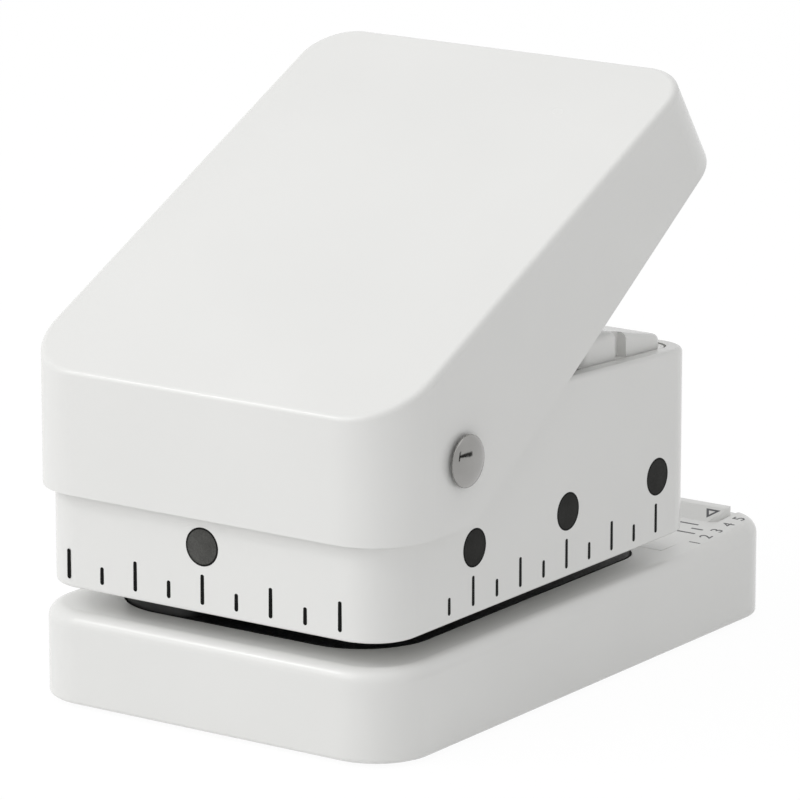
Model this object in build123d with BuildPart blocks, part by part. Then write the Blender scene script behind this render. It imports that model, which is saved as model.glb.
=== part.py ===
from build123d import *
from math import cos, radians, sin, tan
import os

os.makedirs("parts", exist_ok=True)

# Three-hole planner punch. Front is -Y, right is +X, up is +Z, the table is Z = 0. All in mm.

# Holes
hole_pitch = 19.0
hole_x = -0.7
hole_mid_y = -3.2
pin_r = 2.5
hole_edge = 5.5

# Body, reckoned from the first and last hole
body_w = 49.0
body_ahead = 16.8
body_behind = 8.9
body_r = 5.7
body_rear_r = 4.5
body_wall = 1.9
body_floor = 2.0
rim_rear_h = 22.05
rim_slope = 3.1
rim_peak_fall = 0.2
rim_front_fall = 4.3
rim_bend = 6.0

# Base block, reckoned from the body that stands on it
base_beside = 1.4
base_ahead = 0.8
shelf_l = 15.7
base_h = 10.8
base_r = 7.2
base_rear_r = 5.4
base_round = 1.7
ramp_h = 1.1
base_wall = 2.0
deck_t = 3.2
floor_t = 1.6
foot_proud = 0.4

# Throat and die
throat = 2.85
die_t = 1.6
die_r = 8.7
die_rear_r = 4.5
die_border = 5.8
die_front_border = 6.2
die_rear_border = 4.2
spacer_r = 2.0

# Handle, as it rests raised
axle_ahead = 4.57
axle_h = 19.28
axle_r = 2.0
top_tilt = 26.0
skirt_tilt = 34.0
top_dist = 11.9
skirt_dist = 7.9
lobe_drop = 7.9
reach = 59.6
side_skin = 1.55
front_skin = 1.05
handle_top_t = 1.8
handle_round = 0.8
front_corner_r = 8.0
rear_corner_r = 6.0

# Drive
swing = 30.0
dowel_arm = 12.0
dowel_r = 3.0
bar_t = 3.0
bar_half_w = 4.4
cheek_in = 5.2
cheek_t = 1.8
wire_r = 0.35
spring_r = 2.85
spring_turns = 5

# Paper guide and the borders beside it
guide_t = 1.8
block_h = 1.4
block_l = 4.6
block_inset = 3.3
tongue_l = 2.0
border_w = 3.7
border_seam = 0.35
groove_stop = 4.9

# Screws: shank and head radius
floor_screw_r = 1.0
floor_screw_in = 4.0
floor_head_r = 1.9
spine_screw_r = 1.2
spine_head_r = 2.3
plate_screw_r = 1.0
cover_screw_r = 0.9
cover_screw_in = 5.4
lever_screw_r = 0.9
small_head_r = 1.7

# Named clearances
run = 0.05
fit = 0.02
seat = 0.3
slide_gap = 0.25
skirt_gap = 0.35
drive_gap = 0.09
stop_gap = 0.02

# Levels and places that follow from the sizes above
hole_ys = [hole_mid_y - hole_pitch, hole_mid_y, hole_mid_y + hole_pitch]
holes = [(hole_x, y) for y in hole_ys]
spring_ys = [hole_mid_y - hole_pitch / 2, hole_mid_y + hole_pitch / 2]
springs_at = [(hole_x, y) for y in spring_ys]
body_front = hole_ys[0] - body_ahead
body_rear = hole_ys[2] + body_behind
body_l = body_rear - body_front
body_mid_y = (body_front + body_rear) / 2
body_in_half = body_w / 2 - body_wall

base_w = body_w + 2 * base_beside
base_front = body_front - base_ahead
base_rear = body_rear + shelf_l
base_l = base_rear - base_front
base_mid_y = (base_front + base_rear) / 2
base_z0 = foot_proud
base_top = base_z0 + base_h
deck_z = base_top - deck_t
floor_z1 = base_z0 + floor_t

die_z0 = base_top - die_t
body_z0 = base_top + throat
body_in_z = body_z0 + body_floor
axle_y = hole_ys[0] - axle_ahead
axle_z = body_z0 + axle_h

half_swing = radians(swing / 2)
dowel_y = axle_y + dowel_arm * cos(half_swing)
dowel_z = axle_z + dowel_arm * sin(half_swing)
pad_top = dowel_z - dowel_r - drive_gap
bar_top = axle_z - axle_r - 1.13
bar_z0 = bar_top - bar_t
tip_z = body_z0 + 0.8
guide_plate_t = 2.5
guide_plate_top = body_in_z + guide_plate_t

stop_x = hole_x - hole_edge
die_right = base_w / 2 - die_border
die_left = -die_right
die_front = base_front + die_front_border
die_rear = body_rear - die_rear_border
die_w = die_right - die_left
die_l = die_rear - die_front
die_mid = ((die_left + die_right) / 2, (die_front + die_rear) / 2)
spine_w = stop_x - die_left
spine_mid_x = stop_x - spine_w / 2
spine_y0 = die_front + 5.75
spine_step = (die_rear - 4.15 - spine_y0) / 3
spine_screws = [(spine_mid_x, spine_y0 + spine_step * i) for i in range(4)]


def level(z, x=0.0, y=0.0):
    """Horizontal plane at height z, with its origin over (x, y)."""
    return Plane(origin=(x, y, z))


def side(x=0.0, y=0.0, z=0.0, tilt=0.0):
    """Upright plane facing +X; its first axis runs to the rear, raised by tilt degrees."""
    a = radians(tilt)
    return Plane(origin=(x, y, z), x_dir=(0, cos(a), sin(a)), z_dir=(1, 0, 0))


def dots(points, z, r):
    """Equal circles on the level plane at height z."""
    with BuildSketch(level(z)) as found:
        with Locations(*points):
            Circle(r)
    return found.sketch


def die_outline(gap):
    """Outline of the die plate grown by a gap, rounder in front than behind."""
    with BuildSketch() as found:
        with Locations(die_mid):
            Rectangle(die_w + 2 * gap, die_l + 2 * gap)
        fillet(found.vertices().group_by(Axis.Y)[0], die_r + gap)
        fillet(found.vertices().group_by(Axis.Y)[-1], die_rear_r + gap)
    return found.sketch


def rim_z(y):
    """Height of the sloping rim over a place along the body."""
    return body_z0 + rim_rear_h + (body_rear - y) * tan(radians(rim_slope))


# Base shell: a hollow block, open underneath, with a pocket for the die and a channel behind it
ramp_y0 = body_rear + 0.5
channel_z = base_top - guide_t - slide_gap
channel_half = base_w / 2 - border_w - border_seam
channel_y0 = die_rear + seat + 0.8
guide_half_w = channel_half - slide_gap
guide_y0 = channel_y0 + 0.6
guide_y1 = base_rear - 0.3
guide_travel = base_rear - groove_stop - 0.3 - tongue_l - guide_y0
tongue_h = 0.8
tongue_w = 1.1
peg_r = 1.2
peg_y = guide_y0 + 2.6
post_x = base_w / 2 - base_wall - 3.7
post_r = floor_screw_r + 1.7
floor_posts = [(x, y) for x in (-post_x, post_x) for y in (base_front + 6.15, base_rear - 7.35)]
with BuildPart() as base_shell:
    with BuildSketch(side()) as base_profile:
        with BuildLine():
            Polyline(
                (base_front, base_z0),
                (base_rear, base_z0),
                (base_rear, base_top + ramp_h),
                (ramp_y0, base_top),
                (base_front, base_top),
                close=True,
            )
        make_face()
        fillet(base_profile.vertices().sort_by_distance((ramp_y0, base_top))[0], 60)
    extrude(amount=base_w / 2, both=True)
    fillet(base_shell.edges().filter_by(Axis.Z).group_by(Axis.Y)[0], base_r)
    fillet(base_shell.edges().filter_by(Axis.Z).group_by(Axis.Y)[-1], base_rear_r)
    upper = base_shell.faces().filter_by(lambda f: f.normal_at().Z > 0.9)
    fillet(upper.edges().filter_by(lambda e: e.bounding_box().size.X < base_w - 1), base_round)
    fillet(base_shell.faces().sort_by(Axis.Z)[0].edges(), 0.5)
    # Inside of the shell
    with BuildSketch(level(base_z0, 0, base_mid_y)):
        RectangleRounded(base_w - 2 * base_wall, base_l - 2 * base_wall, base_rear_r - base_wall)
    extrude(amount=deck_z - base_z0, mode=Mode.SUBTRACT)
    with BuildSketch(level(die_z0)):
        add(die_outline(seat))
    extrude(amount=die_t + 1, mode=Mode.SUBTRACT)
    extrude(dots(holes, deck_z, pin_r + 1.2), amount=deck_t, mode=Mode.SUBTRACT)
    extrude(dots(spine_screws, deck_z, spine_screw_r + run), amount=deck_t, mode=Mode.SUBTRACT)
    # Channel for the paper guide, with grooves for its tongues and a slot for its peg
    with BuildSketch(level(channel_z)):
        with Locations((0, (channel_y0 + base_rear + 1) / 2)):
            Rectangle(2 * channel_half, base_rear + 1 - channel_y0)
    extrude(amount=base_h, mode=Mode.SUBTRACT)
    with BuildSketch(level(channel_z)):
        with Locations((0, (channel_y0 + base_rear - groove_stop) / 2)):
            Rectangle(2 * (channel_half + tongue_w), base_rear - groove_stop - channel_y0)
    extrude(amount=tongue_h + 2 * slide_gap, mode=Mode.SUBTRACT)
    with BuildSketch(level(deck_z)):
        with Locations((0, peg_y + guide_travel / 2)):
            SlotCenterToCenter(guide_travel + 0.1, 2 * (peg_r + slide_gap), rotation=90)
    extrude(amount=deck_t, mode=Mode.SUBTRACT)
    # Posts that carry the floor
    extrude(dots(floor_posts, floor_z1, post_r), amount=deck_z - floor_z1 + 0.5)
    extrude(dots(floor_posts, floor_z1, floor_screw_r + fit), amount=floor_screw_in + 0.6, mode=Mode.SUBTRACT)
base_shell.part.label = "base_shell"
export_step(base_shell.part, "parts/base_shell.step")

# Base floor: closes the base, with a window for the chip door and pockets for the feet
floor_w = base_w - 2 * base_wall - 2 * seat
floor_l = base_l - 2 * base_wall - 2 * seat
door_half = base_w / 2 - 10.8
door_y0 = base_front + 12.65
hinge_y = base_rear - 16.95
bead_r = 1.25
hinge_z = base_z0 + bead_r
hinge_pin_r = 0.7
hinge_block = 3.2
foot_r = 4.0
foot_x = post_x - floor_head_r - foot_r - 1.4
feet_at = [(x, y) for x in (-foot_x, foot_x) for y in (base_front + 6.65, base_rear - 7.45)]
foot_in = 0.8
with BuildPart() as base_floor:
    with BuildSketch(level(base_z0, 0, base_mid_y)):
        RectangleRounded(floor_w, floor_l, base_rear_r - base_wall - seat)
    extrude(amount=floor_t)
    # Blocks that hold the door's hinge pins
    with BuildSketch(level(base_z0)):
        with Locations((door_half + hinge_block / 2, hinge_y), (-door_half - hinge_block / 2, hinge_y)):
            Rectangle(hinge_block, 2 * (bead_r + 1.25))
    extrude(amount=2 * bead_r + 0.6)
    with BuildSketch(level(base_z0)):
        with Locations((0, (door_y0 + hinge_y + bead_r + seat) / 2)):
            Rectangle(2 * door_half, hinge_y + bead_r + seat - door_y0)
    extrude(amount=floor_t, mode=Mode.SUBTRACT)
    with BuildSketch(side(0, hinge_y, hinge_z)):
        Circle(hinge_pin_r + run)
    extrude(amount=door_half + hinge_block - 0.8, both=True, mode=Mode.SUBTRACT)
    extrude(dots(feet_at, base_z0, foot_r + run), amount=foot_in, mode=Mode.SUBTRACT)
    extrude(dots(floor_posts, base_z0, floor_screw_r + run), amount=floor_t, mode=Mode.SUBTRACT)
    extrude(dots(floor_posts, base_z0, floor_head_r + run), amount=floor_t / 2, mode=Mode.SUBTRACT)
base_floor.part.label = "base_floor"
export_step(base_floor.part, "parts/base_floor.step")

# Floor screws
with BuildPart() as floor_screws:
    extrude(dots(floor_posts, base_z0, floor_head_r), amount=floor_t / 2)
    extrude(dots(floor_posts, base_z0, floor_screw_r), amount=floor_t + floor_screw_in)
floor_screws.part.label = "floor_screws"
export_step(floor_screws.part, "parts/floor_screws.step")

# Rubber feet: domed pads sunk in the floor
with BuildPart() as rubber_feet:
    extrude(dots(feet_at, 0, foot_r), amount=foot_proud + foot_in)
    fillet(rubber_feet.edges().group_by(Axis.Z)[0], 0.35)
rubber_feet.part.label = "rubber_feet"
export_step(rubber_feet.part, "parts/rubber_feet.step")

# Chip door: a hinged plate with a rolled rear edge and a finger scoop at the front
door_l = hinge_y - door_y0 - seat
door_w = 2 * (door_half - seat)
scoop_r = 2.0
scoop_w = 10.0
with BuildPart() as chip_door:
    with BuildSketch(level(base_z0, 0, hinge_y - door_l / 2)):
        Rectangle(door_w, door_l)
    extrude(amount=floor_t)
    fillet(chip_door.edges().filter_by(Axis.Z).group_by(Axis.Y)[0], 1.5)
    with BuildSketch(side(0, hinge_y, hinge_z)):
        Circle(bead_r)
    extrude(amount=door_half - seat, both=True)
    with BuildSketch(side(0, hinge_y, hinge_z)):
        Circle(hinge_pin_r)
    extrude(amount=door_half + hinge_block - 1.0, both=True)
    # Low rim that keeps the chips on the door, and the finger scoop under its front edge
    with BuildSketch(level(floor_z1, 0, hinge_y - door_l / 2)):
        Rectangle(door_w - 2.0, door_l - 6.0)
        Rectangle(door_w - 4.0, door_l - 8.0, mode=Mode.SUBTRACT)
    extrude(amount=1.2)
    with BuildSketch(side(0, door_y0 + 1.3 * scoop_r, base_z0 - 0.6 * scoop_r)):
        Circle(scoop_r)
    extrude(amount=scoop_w / 2, both=True, mode=Mode.SUBTRACT)
chip_door.part.label = "chip_door"
export_step(chip_door.part, "parts/chip_door.step")

# Die plate: dark steel, with three cutting holes
with BuildPart() as die_plate:
    with BuildSketch(level(die_z0)):
        add(die_outline(0))
    extrude(amount=die_t)
    extrude(dots(holes, die_z0, pin_r + run), amount=die_t, mode=Mode.SUBTRACT)
    extrude(dots(spine_screws, die_z0, spine_screw_r + run), amount=die_t, mode=Mode.SUBTRACT)
die_plate.part.label = "die_plate"
export_step(die_plate.part, "parts/die_plate.step")

# Throat spacer: holds the body over the base and stops the paper
with BuildPart() as throat_spacer:
    with BuildSketch(level(base_top)) as spacer_plan:
        add(die_outline(0))
        with Locations((spine_mid_x, die_mid[1])):
            Rectangle(spine_w, die_l, mode=Mode.INTERSECT)
        fillet(spacer_plan.vertices().group_by(Axis.X)[-1], spacer_r)
    extrude(amount=throat)
    extrude(dots(spine_screws, base_top, spine_screw_r + run), amount=throat, mode=Mode.SUBTRACT)
throat_spacer.part.label = "throat_spacer"
export_step(throat_spacer.part, "parts/throat_spacer.step")

# Long screws that clamp base, die, spacer and body together
spine_screw_top = body_in_z + 5.5
spine_head_t = 1.8
with BuildPart() as spine_screws_part:
    extrude(dots(spine_screws, deck_z - spine_head_t, spine_head_r), amount=spine_head_t)
    extrude(dots(spine_screws, deck_z, spine_screw_r), amount=spine_screw_top - deck_z)
    fillet(spine_screws_part.edges().group_by(Axis.Z)[0], 0.5)
spine_screws_part.part.label = "spine_screws"
export_step(spine_screws_part.part, "parts/spine_screws.step")

# Body shell: open tub with a sloping rim that drops away in front of the axle
rim_peak_y0 = axle_y + 8.4
rim_peak_y1 = axle_y - 3.1
rim_top = rim_z(rim_peak_y0)
bush_r = pin_r + 0.8
guide_plate_half = 8.0
guide_plate_y0 = hole_ys[0] - 6.4
guide_plate_y1 = hole_ys[2] + 5.6
guide_screws = [
    (hole_x + dx, y) for dx in (-6.2, 6.2) for y in (guide_plate_y0 + 1.95, guide_plate_y1 - 2.45)
]
cover_l = 17.8
cover_y1 = body_rear - body_wall - 1.9
cover_y0 = cover_y1 - cover_l
cover_seat = body_z0 + rim_rear_h - 1.65
cover_post_r = cover_screw_r + 1.4
cover_posts = [
    (x, y) for x in (3.7 - body_in_half, hole_x + 11.5) for y in (cover_y0 + 3.7, cover_y1 - 3.1)
]
with BuildPart() as body_shell:
    with BuildSketch(side()) as body_profile:
        with BuildLine():
            Polyline(
                (body_front, body_z0),
                (body_rear, body_z0),
                (body_rear, body_z0 + rim_rear_h),
                (rim_peak_y0, rim_top),
                (rim_peak_y1, rim_top - rim_peak_fall),
                (body_front, rim_top - rim_peak_fall - rim_front_fall),
                close=True,
            )
        make_face()
        rim_peak = body_profile.vertices().sort_by_distance(((rim_peak_y0 + rim_peak_y1) / 2, rim_top))
        fillet(rim_peak[:2], rim_bend)
    extrude(amount=body_w / 2, both=True)
    fillet(body_shell.edges().filter_by(Axis.Z).group_by(Axis.Y)[0], body_r)
    fillet(body_shell.edges().filter_by(Axis.Z).group_by(Axis.Y)[-1], body_rear_r)
    fillet(body_shell.faces().sort_by(Axis.Z)[0].edges(), 0.4)
    upper = body_shell.faces().filter_by(lambda f: f.normal_at().Z > 0.5)
    lines = upper.edges().filter_by(lambda e: e.bounding_box().size.X < body_w - 2 * body_r - 1)
    fillet(lines, 0.6)
    # Hollow of the tub
    with BuildSketch(level(body_in_z, 0, body_mid_y)):
        RectangleRounded(2 * body_in_half, body_l - 2 * body_wall, body_rear_r - body_wall)
    extrude(amount=40, mode=Mode.SUBTRACT)
    # Bosses over the spacer and posts under the cover
    extrude(dots(spine_screws, body_in_z - 0.5, spine_screw_r + 1.8), amount=7.0)
    extrude(dots(cover_posts, body_in_z - 0.5, cover_post_r), amount=cover_seat - body_in_z + 0.5)
    # Rails that keep the guide plate in place
    with BuildSketch(level(body_in_z)):
        with Locations((hole_x, guide_plate_y0 - 1.1), (hole_x, guide_plate_y1 + 1.1)):
            Rectangle(14.0, 1.6)
    extrude(amount=1.8)
    # Bores
    extrude(dots(spine_screws, body_z0, spine_screw_r + run), amount=body_floor + 6.0, mode=Mode.SUBTRACT)
    cover_bore_z = cover_seat - cover_screw_in - 0.6
    extrude(dots(cover_posts, cover_bore_z, cover_screw_r + fit), amount=8, mode=Mode.SUBTRACT)
    extrude(dots(holes, body_z0, bush_r + seat), amount=body_floor, mode=Mode.SUBTRACT)
    extrude(dots(guide_screws, body_in_z - 1.4, plate_screw_r + fit), amount=1.4, mode=Mode.SUBTRACT)
    with BuildSketch(side(0, axle_y, axle_z)):
        Circle(axle_r + fit)
    extrude(amount=body_w, both=True, mode=Mode.SUBTRACT)
body_shell.part.label = "body_shell"
export_step(body_shell.part, "parts/body_shell.step")

# Guide plate: steel strip on the body's floor that lines up the pins
guide_plate_mid = (guide_plate_y0 + guide_plate_y1) / 2
with BuildPart() as guide_plate:
    with BuildSketch(level(body_in_z, hole_x, guide_plate_mid)):
        RectangleRounded(2 * guide_plate_half, guide_plate_y1 - guide_plate_y0, 1.5)
    extrude(amount=guide_plate_t)
    extrude(dots(holes, body_in_z, bush_r + fit), amount=guide_plate_t, mode=Mode.SUBTRACT)
    extrude(dots(springs_at, body_in_z, spring_r + 1.1), amount=guide_plate_t, mode=Mode.SUBTRACT)
    extrude(dots(guide_screws, body_in_z, plate_screw_r + run), amount=guide_plate_t, mode=Mode.SUBTRACT)
guide_plate.part.label = "guide_plate"
export_step(guide_plate.part, "parts/guide_plate.step")

# Guide bushes: flanged sleeves the pins run in
bush_z0 = body_z0 + 0.5
bush_flange = 0.8
with BuildPart() as guide_bushes:
    extrude(dots(holes, bush_z0, bush_r), amount=guide_plate_top - bush_z0)
    extrude(dots(holes, guide_plate_top, bush_r + 0.9), amount=bush_flange)
    extrude(dots(holes, bush_z0, pin_r + run), amount=12, mode=Mode.SUBTRACT)
guide_bushes.part.label = "guide_bushes"
export_step(guide_bushes.part, "parts/guide_bushes.step")

# Guide plate screws
with BuildPart() as guide_screws_part:
    extrude(dots(guide_screws, guide_plate_top, small_head_r), amount=1.1)
    extrude(dots(guide_screws, body_in_z - 1.3, plate_screw_r), amount=guide_plate_t + 1.4)
    fillet(guide_screws_part.edges().group_by(Axis.Z)[-1], 0.4)
guide_screws_part.part.label = "guide_screws"
export_step(guide_screws_part.part, "parts/guide_screws.step")

# Mechanism cover: a ramped block over the rim, with a slot in each side and a post that stops the bar
cover_half = body_in_half - seat
cover_rise = 1.45
cover_crest = 2.5
cover_crest_y = cover_y0 + 6.6
cover_top_t = 1.8
cover_wall = 1.7
cover_rear_z = rim_z(cover_y1) + cover_rise
cover_top_z = cover_rear_z + cover_crest
slot_y = cover_y1 - 9.4
slot_w = 2.3
slot_deep = 1.2
lip_y1 = body_rear - body_wall - seat
lip_fall = 0.1
cover_head_z = cover_seat + 1.9


def cover_top(y):
    """Height of the cover's top, which falls to the rear behind its crest."""
    fall = cover_crest * (y - cover_crest_y) / (cover_y1 - cover_crest_y)
    return cover_top_z - max(0.0, fall)


with BuildPart() as mechanism_cover:
    with BuildSketch(side()):
        with BuildLine():
            Polyline(
                (cover_y0, cover_seat),
                (cover_y1, cover_seat),
                (cover_y1, cover_rear_z),
                (cover_crest_y, cover_top_z),
                (cover_y0, cover_top_z),
                close=True,
            )
        make_face()
    extrude(amount=cover_half, both=True)
    fillet(mechanism_cover.edges().filter_by(Axis.Z), 1.8)
    upper = mechanism_cover.faces().filter_by(lambda f: f.normal_at().Z > 0.9)
    fillet(upper.edges().filter_by(lambda e: abs(e.center().Y - cover_crest_y) > 0.1), 0.8)
    # Flange that fills the rim behind the block
    with BuildSketch(side()):
        with BuildLine():
            Polyline(
                (cover_y0, cover_seat),
                (lip_y1, cover_seat),
                (lip_y1, rim_z(lip_y1) - lip_fall),
                (cover_y0, rim_z(cover_y0) - lip_fall),
                close=True,
            )
        make_face()
    extrude(amount=cover_half, both=True)
    fillet(mechanism_cover.edges().filter_by(Axis.Z).group_by(Axis.Y)[-1], body_rear_r - body_wall - seat)
    with BuildSketch(side()):
        with BuildLine():
            Polyline(
                (cover_y0 + cover_wall, cover_seat - 1),
                (cover_y1 - cover_wall, cover_seat - 1),
                (cover_y1 - cover_wall, cover_top(cover_y1 - cover_wall) - cover_top_t),
                (cover_crest_y, cover_top_z - cover_top_t),
                (cover_y0 + cover_wall, cover_top_z - cover_top_t),
                close=True,
            )
        make_face()
    extrude(amount=cover_half - cover_wall, both=True, mode=Mode.SUBTRACT)
    with BuildSketch(level(rim_z(slot_y) - lip_fall)):
        with Locations((cover_half, slot_y), (-cover_half, slot_y)):
            Rectangle(2 * slot_deep, slot_w)
    extrude(amount=8, mode=Mode.SUBTRACT)
    # Screw bosses, and the stop post over the press bar
    for post in cover_posts:
        boss_h = cover_top(post[1] + cover_post_r) - 0.3 - cover_seat
        extrude(dots([post], cover_seat, cover_post_r), amount=boss_h)
    with BuildSketch(level(bar_top + stop_gap, hole_x, spring_ys[1])):
        RectangleRounded(5.0, 5.0, 1.2)
    extrude(amount=cover_top(spring_ys[1] + 2.5) - 0.4 - bar_top)
    extrude(dots(cover_posts, cover_seat, cover_screw_r + run), amount=8, mode=Mode.SUBTRACT)
    extrude(dots(cover_posts, cover_head_z, small_head_r + run), amount=8, mode=Mode.SUBTRACT)
mechanism_cover.part.label = "mechanism_cover"
export_step(mechanism_cover.part, "parts/mechanism_cover.step")

# Cover screws
with BuildPart() as cover_screws:
    extrude(dots(cover_posts, cover_head_z, small_head_r), amount=0.9)
    extrude(dots(cover_posts, cover_seat - cover_screw_in, cover_screw_r), amount=cover_screw_in + 2.1)
    fillet(cover_screws.edges().group_by(Axis.Z)[-1], 0.3)
cover_screws.part.label = "cover_screws"
export_step(cover_screws.part, "parts/cover_screws.step")

# Axle: a polished rivet across the body, domed on the right
head_r = axle_r + 1.25
head_t = 1.4
head_round = 1.1
head_gap = 0.12
stub_r = axle_r - 0.7
handle_w = body_w + 2 * (skirt_gap + side_skin)
axle_right = handle_w / 2 + head_gap
with BuildPart() as axle:
    with BuildSketch(side(-axle_right, axle_y, axle_z)):
        Circle(axle_r)
    extrude(amount=2 * axle_right)
    with BuildSketch(side(axle_right, axle_y, axle_z)):
        Circle(head_r)
    extrude(amount=head_t)
    fillet(axle.faces().sort_by(Axis.X)[-1].edges(), head_round)
    with BuildSketch(side(-axle_right - 0.7, axle_y, axle_z)):
        Circle(stub_r)
    extrude(amount=0.8)
axle.part.label = "axle"
export_step(axle.part, "parts/axle.step")

# Axle cap: the matching dome pressed on the left end
with BuildPart() as axle_cap:
    with BuildSketch(side(-axle_right - head_t, axle_y, axle_z)):
        Circle(head_r)
    extrude(amount=head_t)
    fillet(axle_cap.faces().sort_by(Axis.X)[0].edges(), head_round)
    with BuildSketch(side(-axle_right - 0.7 - fit, axle_y, axle_z)):
        Circle(stub_r + fit)
    extrude(amount=1, mode=Mode.SUBTRACT)
axle_cap.part.label = "axle_cap"
export_step(axle_cap.part, "parts/axle_cap.step")

# Axle sleeves: tubes that keep the lever in the middle of the axle
sleeve_r = axle_r + 1.4
sleeve_gap = 0.2
cheek_out = cheek_in + cheek_t
with BuildPart() as axle_sleeves:
    for x0, x1 in (
        (-body_in_half + sleeve_gap, hole_x - cheek_out - sleeve_gap),
        (hole_x + cheek_out + sleeve_gap, body_in_half - sleeve_gap),
    ):
        with BuildSketch(side(x0, axle_y, axle_z)):
            Circle(sleeve_r)
            Circle(axle_r + run, mode=Mode.SUBTRACT)
        extrude(amount=x1 - x0)
axle_sleeves.part.label = "axle_sleeves"
export_step(axle_sleeves.part, "parts/axle_sleeves.step")

# Handle shell: a wedge-shaped cap with a front skirt, side lobes round the axle and open underneath
front_in = body_front - skirt_gap - axle_y
front_out = front_in - front_skin
side_in = body_w / 2 + skirt_gap
st = radians(skirt_tilt)
tt = radians(top_tilt)
wedge = radians(skirt_tilt - top_tilt)


def on_skirt(u, v):
    """Side-view place from a length u along the lower edge and a height v above the axle's line."""
    return (u * cos(st) - v * sin(st), u * sin(st) + v * cos(st))


def top_at_front(y, dist):
    """Height of the top plane, dist from the axle, over a place y ahead of the axle."""
    return (dist + y * sin(tt)) / cos(tt)


def top_at_rear(u, dist):
    """Height of the top plane, dist from the axle, over a length u along the lower edge."""
    return (dist - u * sin(wedge)) / cos(wedge)


lobe_y = (skirt_dist - lobe_drop * cos(st)) / sin(st)
ceiling = top_dist - handle_top_t
reach_in = reach - side_skin
top_normal = Vector(0, -sin(tt), cos(tt))
skirt_plane = Plane(
    origin=(0, axle_y, axle_z),
    x_dir=(0, cos(st), sin(st)),
    z_dir=(0, -sin(st), cos(st)),
)

with BuildPart() as handle_hollow:
    with BuildSketch(side(0, axle_y, axle_z)):
        with BuildLine():
            Polyline(
                (front_in, -lobe_drop - 6),
                (lobe_y, -lobe_drop - 6),
                on_skirt(reach_in, -skirt_dist - 6),
                on_skirt(reach_in, top_at_rear(reach_in, ceiling)),
                (front_in, top_at_front(front_in, ceiling)),
                close=True,
            )
        make_face()
    extrude(amount=side_in, both=True)
    fillet(handle_hollow.edges().filter_by(Axis.Z), body_r + skirt_gap)
    with BuildSketch(skirt_plane) as hollow_plan:
        with Locations((reach_in - 50.0, 0)):
            Rectangle(100.0, 2 * side_in)
        fillet(hollow_plan.vertices().group_by(Axis.X)[-1], rear_corner_r - side_skin)
    extrude(amount=60, both=True, mode=Mode.INTERSECT)
    roof = handle_hollow.faces().filter_by(lambda f: f.normal_at().dot(top_normal) > 0.999)
    fillet(roof.edges(), 0.6)

boss_len = 3.0
boss_first = 5.0
boss_last = 21.0
bosses_at = [(boss_first, 0), (boss_last, 0)]
rib_t = 1.4
with BuildPart() as handle_shell:
    with BuildSketch(side(0, axle_y, axle_z)) as handle_profile:
        with BuildLine():
            Polyline(
                (front_out, -lobe_drop),
                (lobe_y, -lobe_drop),
                on_skirt(reach, -skirt_dist),
                on_skirt(reach, top_at_rear(reach, top_dist)),
                (front_out, top_at_front(front_out, top_dist)),
                close=True,
            )
        make_face()
        fillet(handle_profile.vertices().sort_by(Axis.Y)[:2].sort_by(Axis.X)[-1], 7.0)
        fillet(handle_profile.vertices().sort_by(Axis.X)[-1], 2.2)
    extrude(amount=handle_w / 2, both=True)
    fillet(handle_shell.edges().filter_by(Axis.Z), front_corner_r)
    with BuildSketch(skirt_plane) as handle_plan:
        with Locations((reach - 50.0, 0)):
            Rectangle(100.0, handle_w)
        fillet(handle_plan.vertices().group_by(Axis.X)[-1], rear_corner_r)
    extrude(amount=60, both=True, mode=Mode.INTERSECT)
    roof = handle_shell.faces().filter_by(lambda f: f.normal_at().dot(top_normal) > 0.999)
    fillet(roof.edges(), handle_round)
    add(handle_hollow.part, mode=Mode.SUBTRACT)
    # Bosses for the lever, standing down from the ceiling
    boss_plane = Plane(
        origin=(hole_x, axle_y - (ceiling - boss_len) * sin(tt), axle_z + (ceiling - boss_len) * cos(tt)),
        x_dir=(0, cos(tt), sin(tt)),
        z_dir=(0, -sin(tt), cos(tt)),
    )
    with BuildSketch(boss_plane):
        with Locations(*bosses_at):
            Circle(lever_screw_r + 1.7)
    extrude(amount=boss_len + 0.4)
    with BuildSketch(boss_plane):
        with Locations(*bosses_at):
            Circle(lever_screw_r + fit)
    extrude(amount=boss_len, mode=Mode.SUBTRACT)
    # Ribs that stiffen the thumb end, clear of the body behind it
    for x in (-0.56 * side_in, 0.0, 0.56 * side_in):
        with BuildSketch(side(x - rib_t / 2, axle_y, axle_z)):
            with BuildLine():
                Polyline(
                    on_skirt(reach - 6.0, top_at_rear(reach - 6.0, ceiling) + 0.4),
                    on_skirt(reach - 0.8, top_at_rear(reach - 0.8, ceiling) + 0.4),
                    on_skirt(reach - 0.8, -skirt_dist + 3.0),
                    on_skirt(reach - 2.0, -skirt_dist + 3.0),
                    close=True,
                )
            make_face()
        extrude(amount=rib_t)
    # Two rest pads inside the front skirt, which meet the body when the handle is up
    with BuildSketch(Plane(origin=(0, body_front - stop_gap, axle_z), x_dir=(1, 0, 0), z_dir=(0, -1, 0))):
        with Locations((-0.4 * side_in, -5.0), (0.4 * side_in, -5.0)):
            Rectangle(8.0, 3.0)
    extrude(amount=skirt_gap + 0.3)
    with BuildSketch(side(0, axle_y, axle_z)):
        Circle(axle_r + run)
    extrude(amount=handle_w, both=True, mode=Mode.SUBTRACT)
handle_shell.part.label = "handle_shell"
export_step(handle_shell.part, "parts/handle_shell.step")

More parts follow.
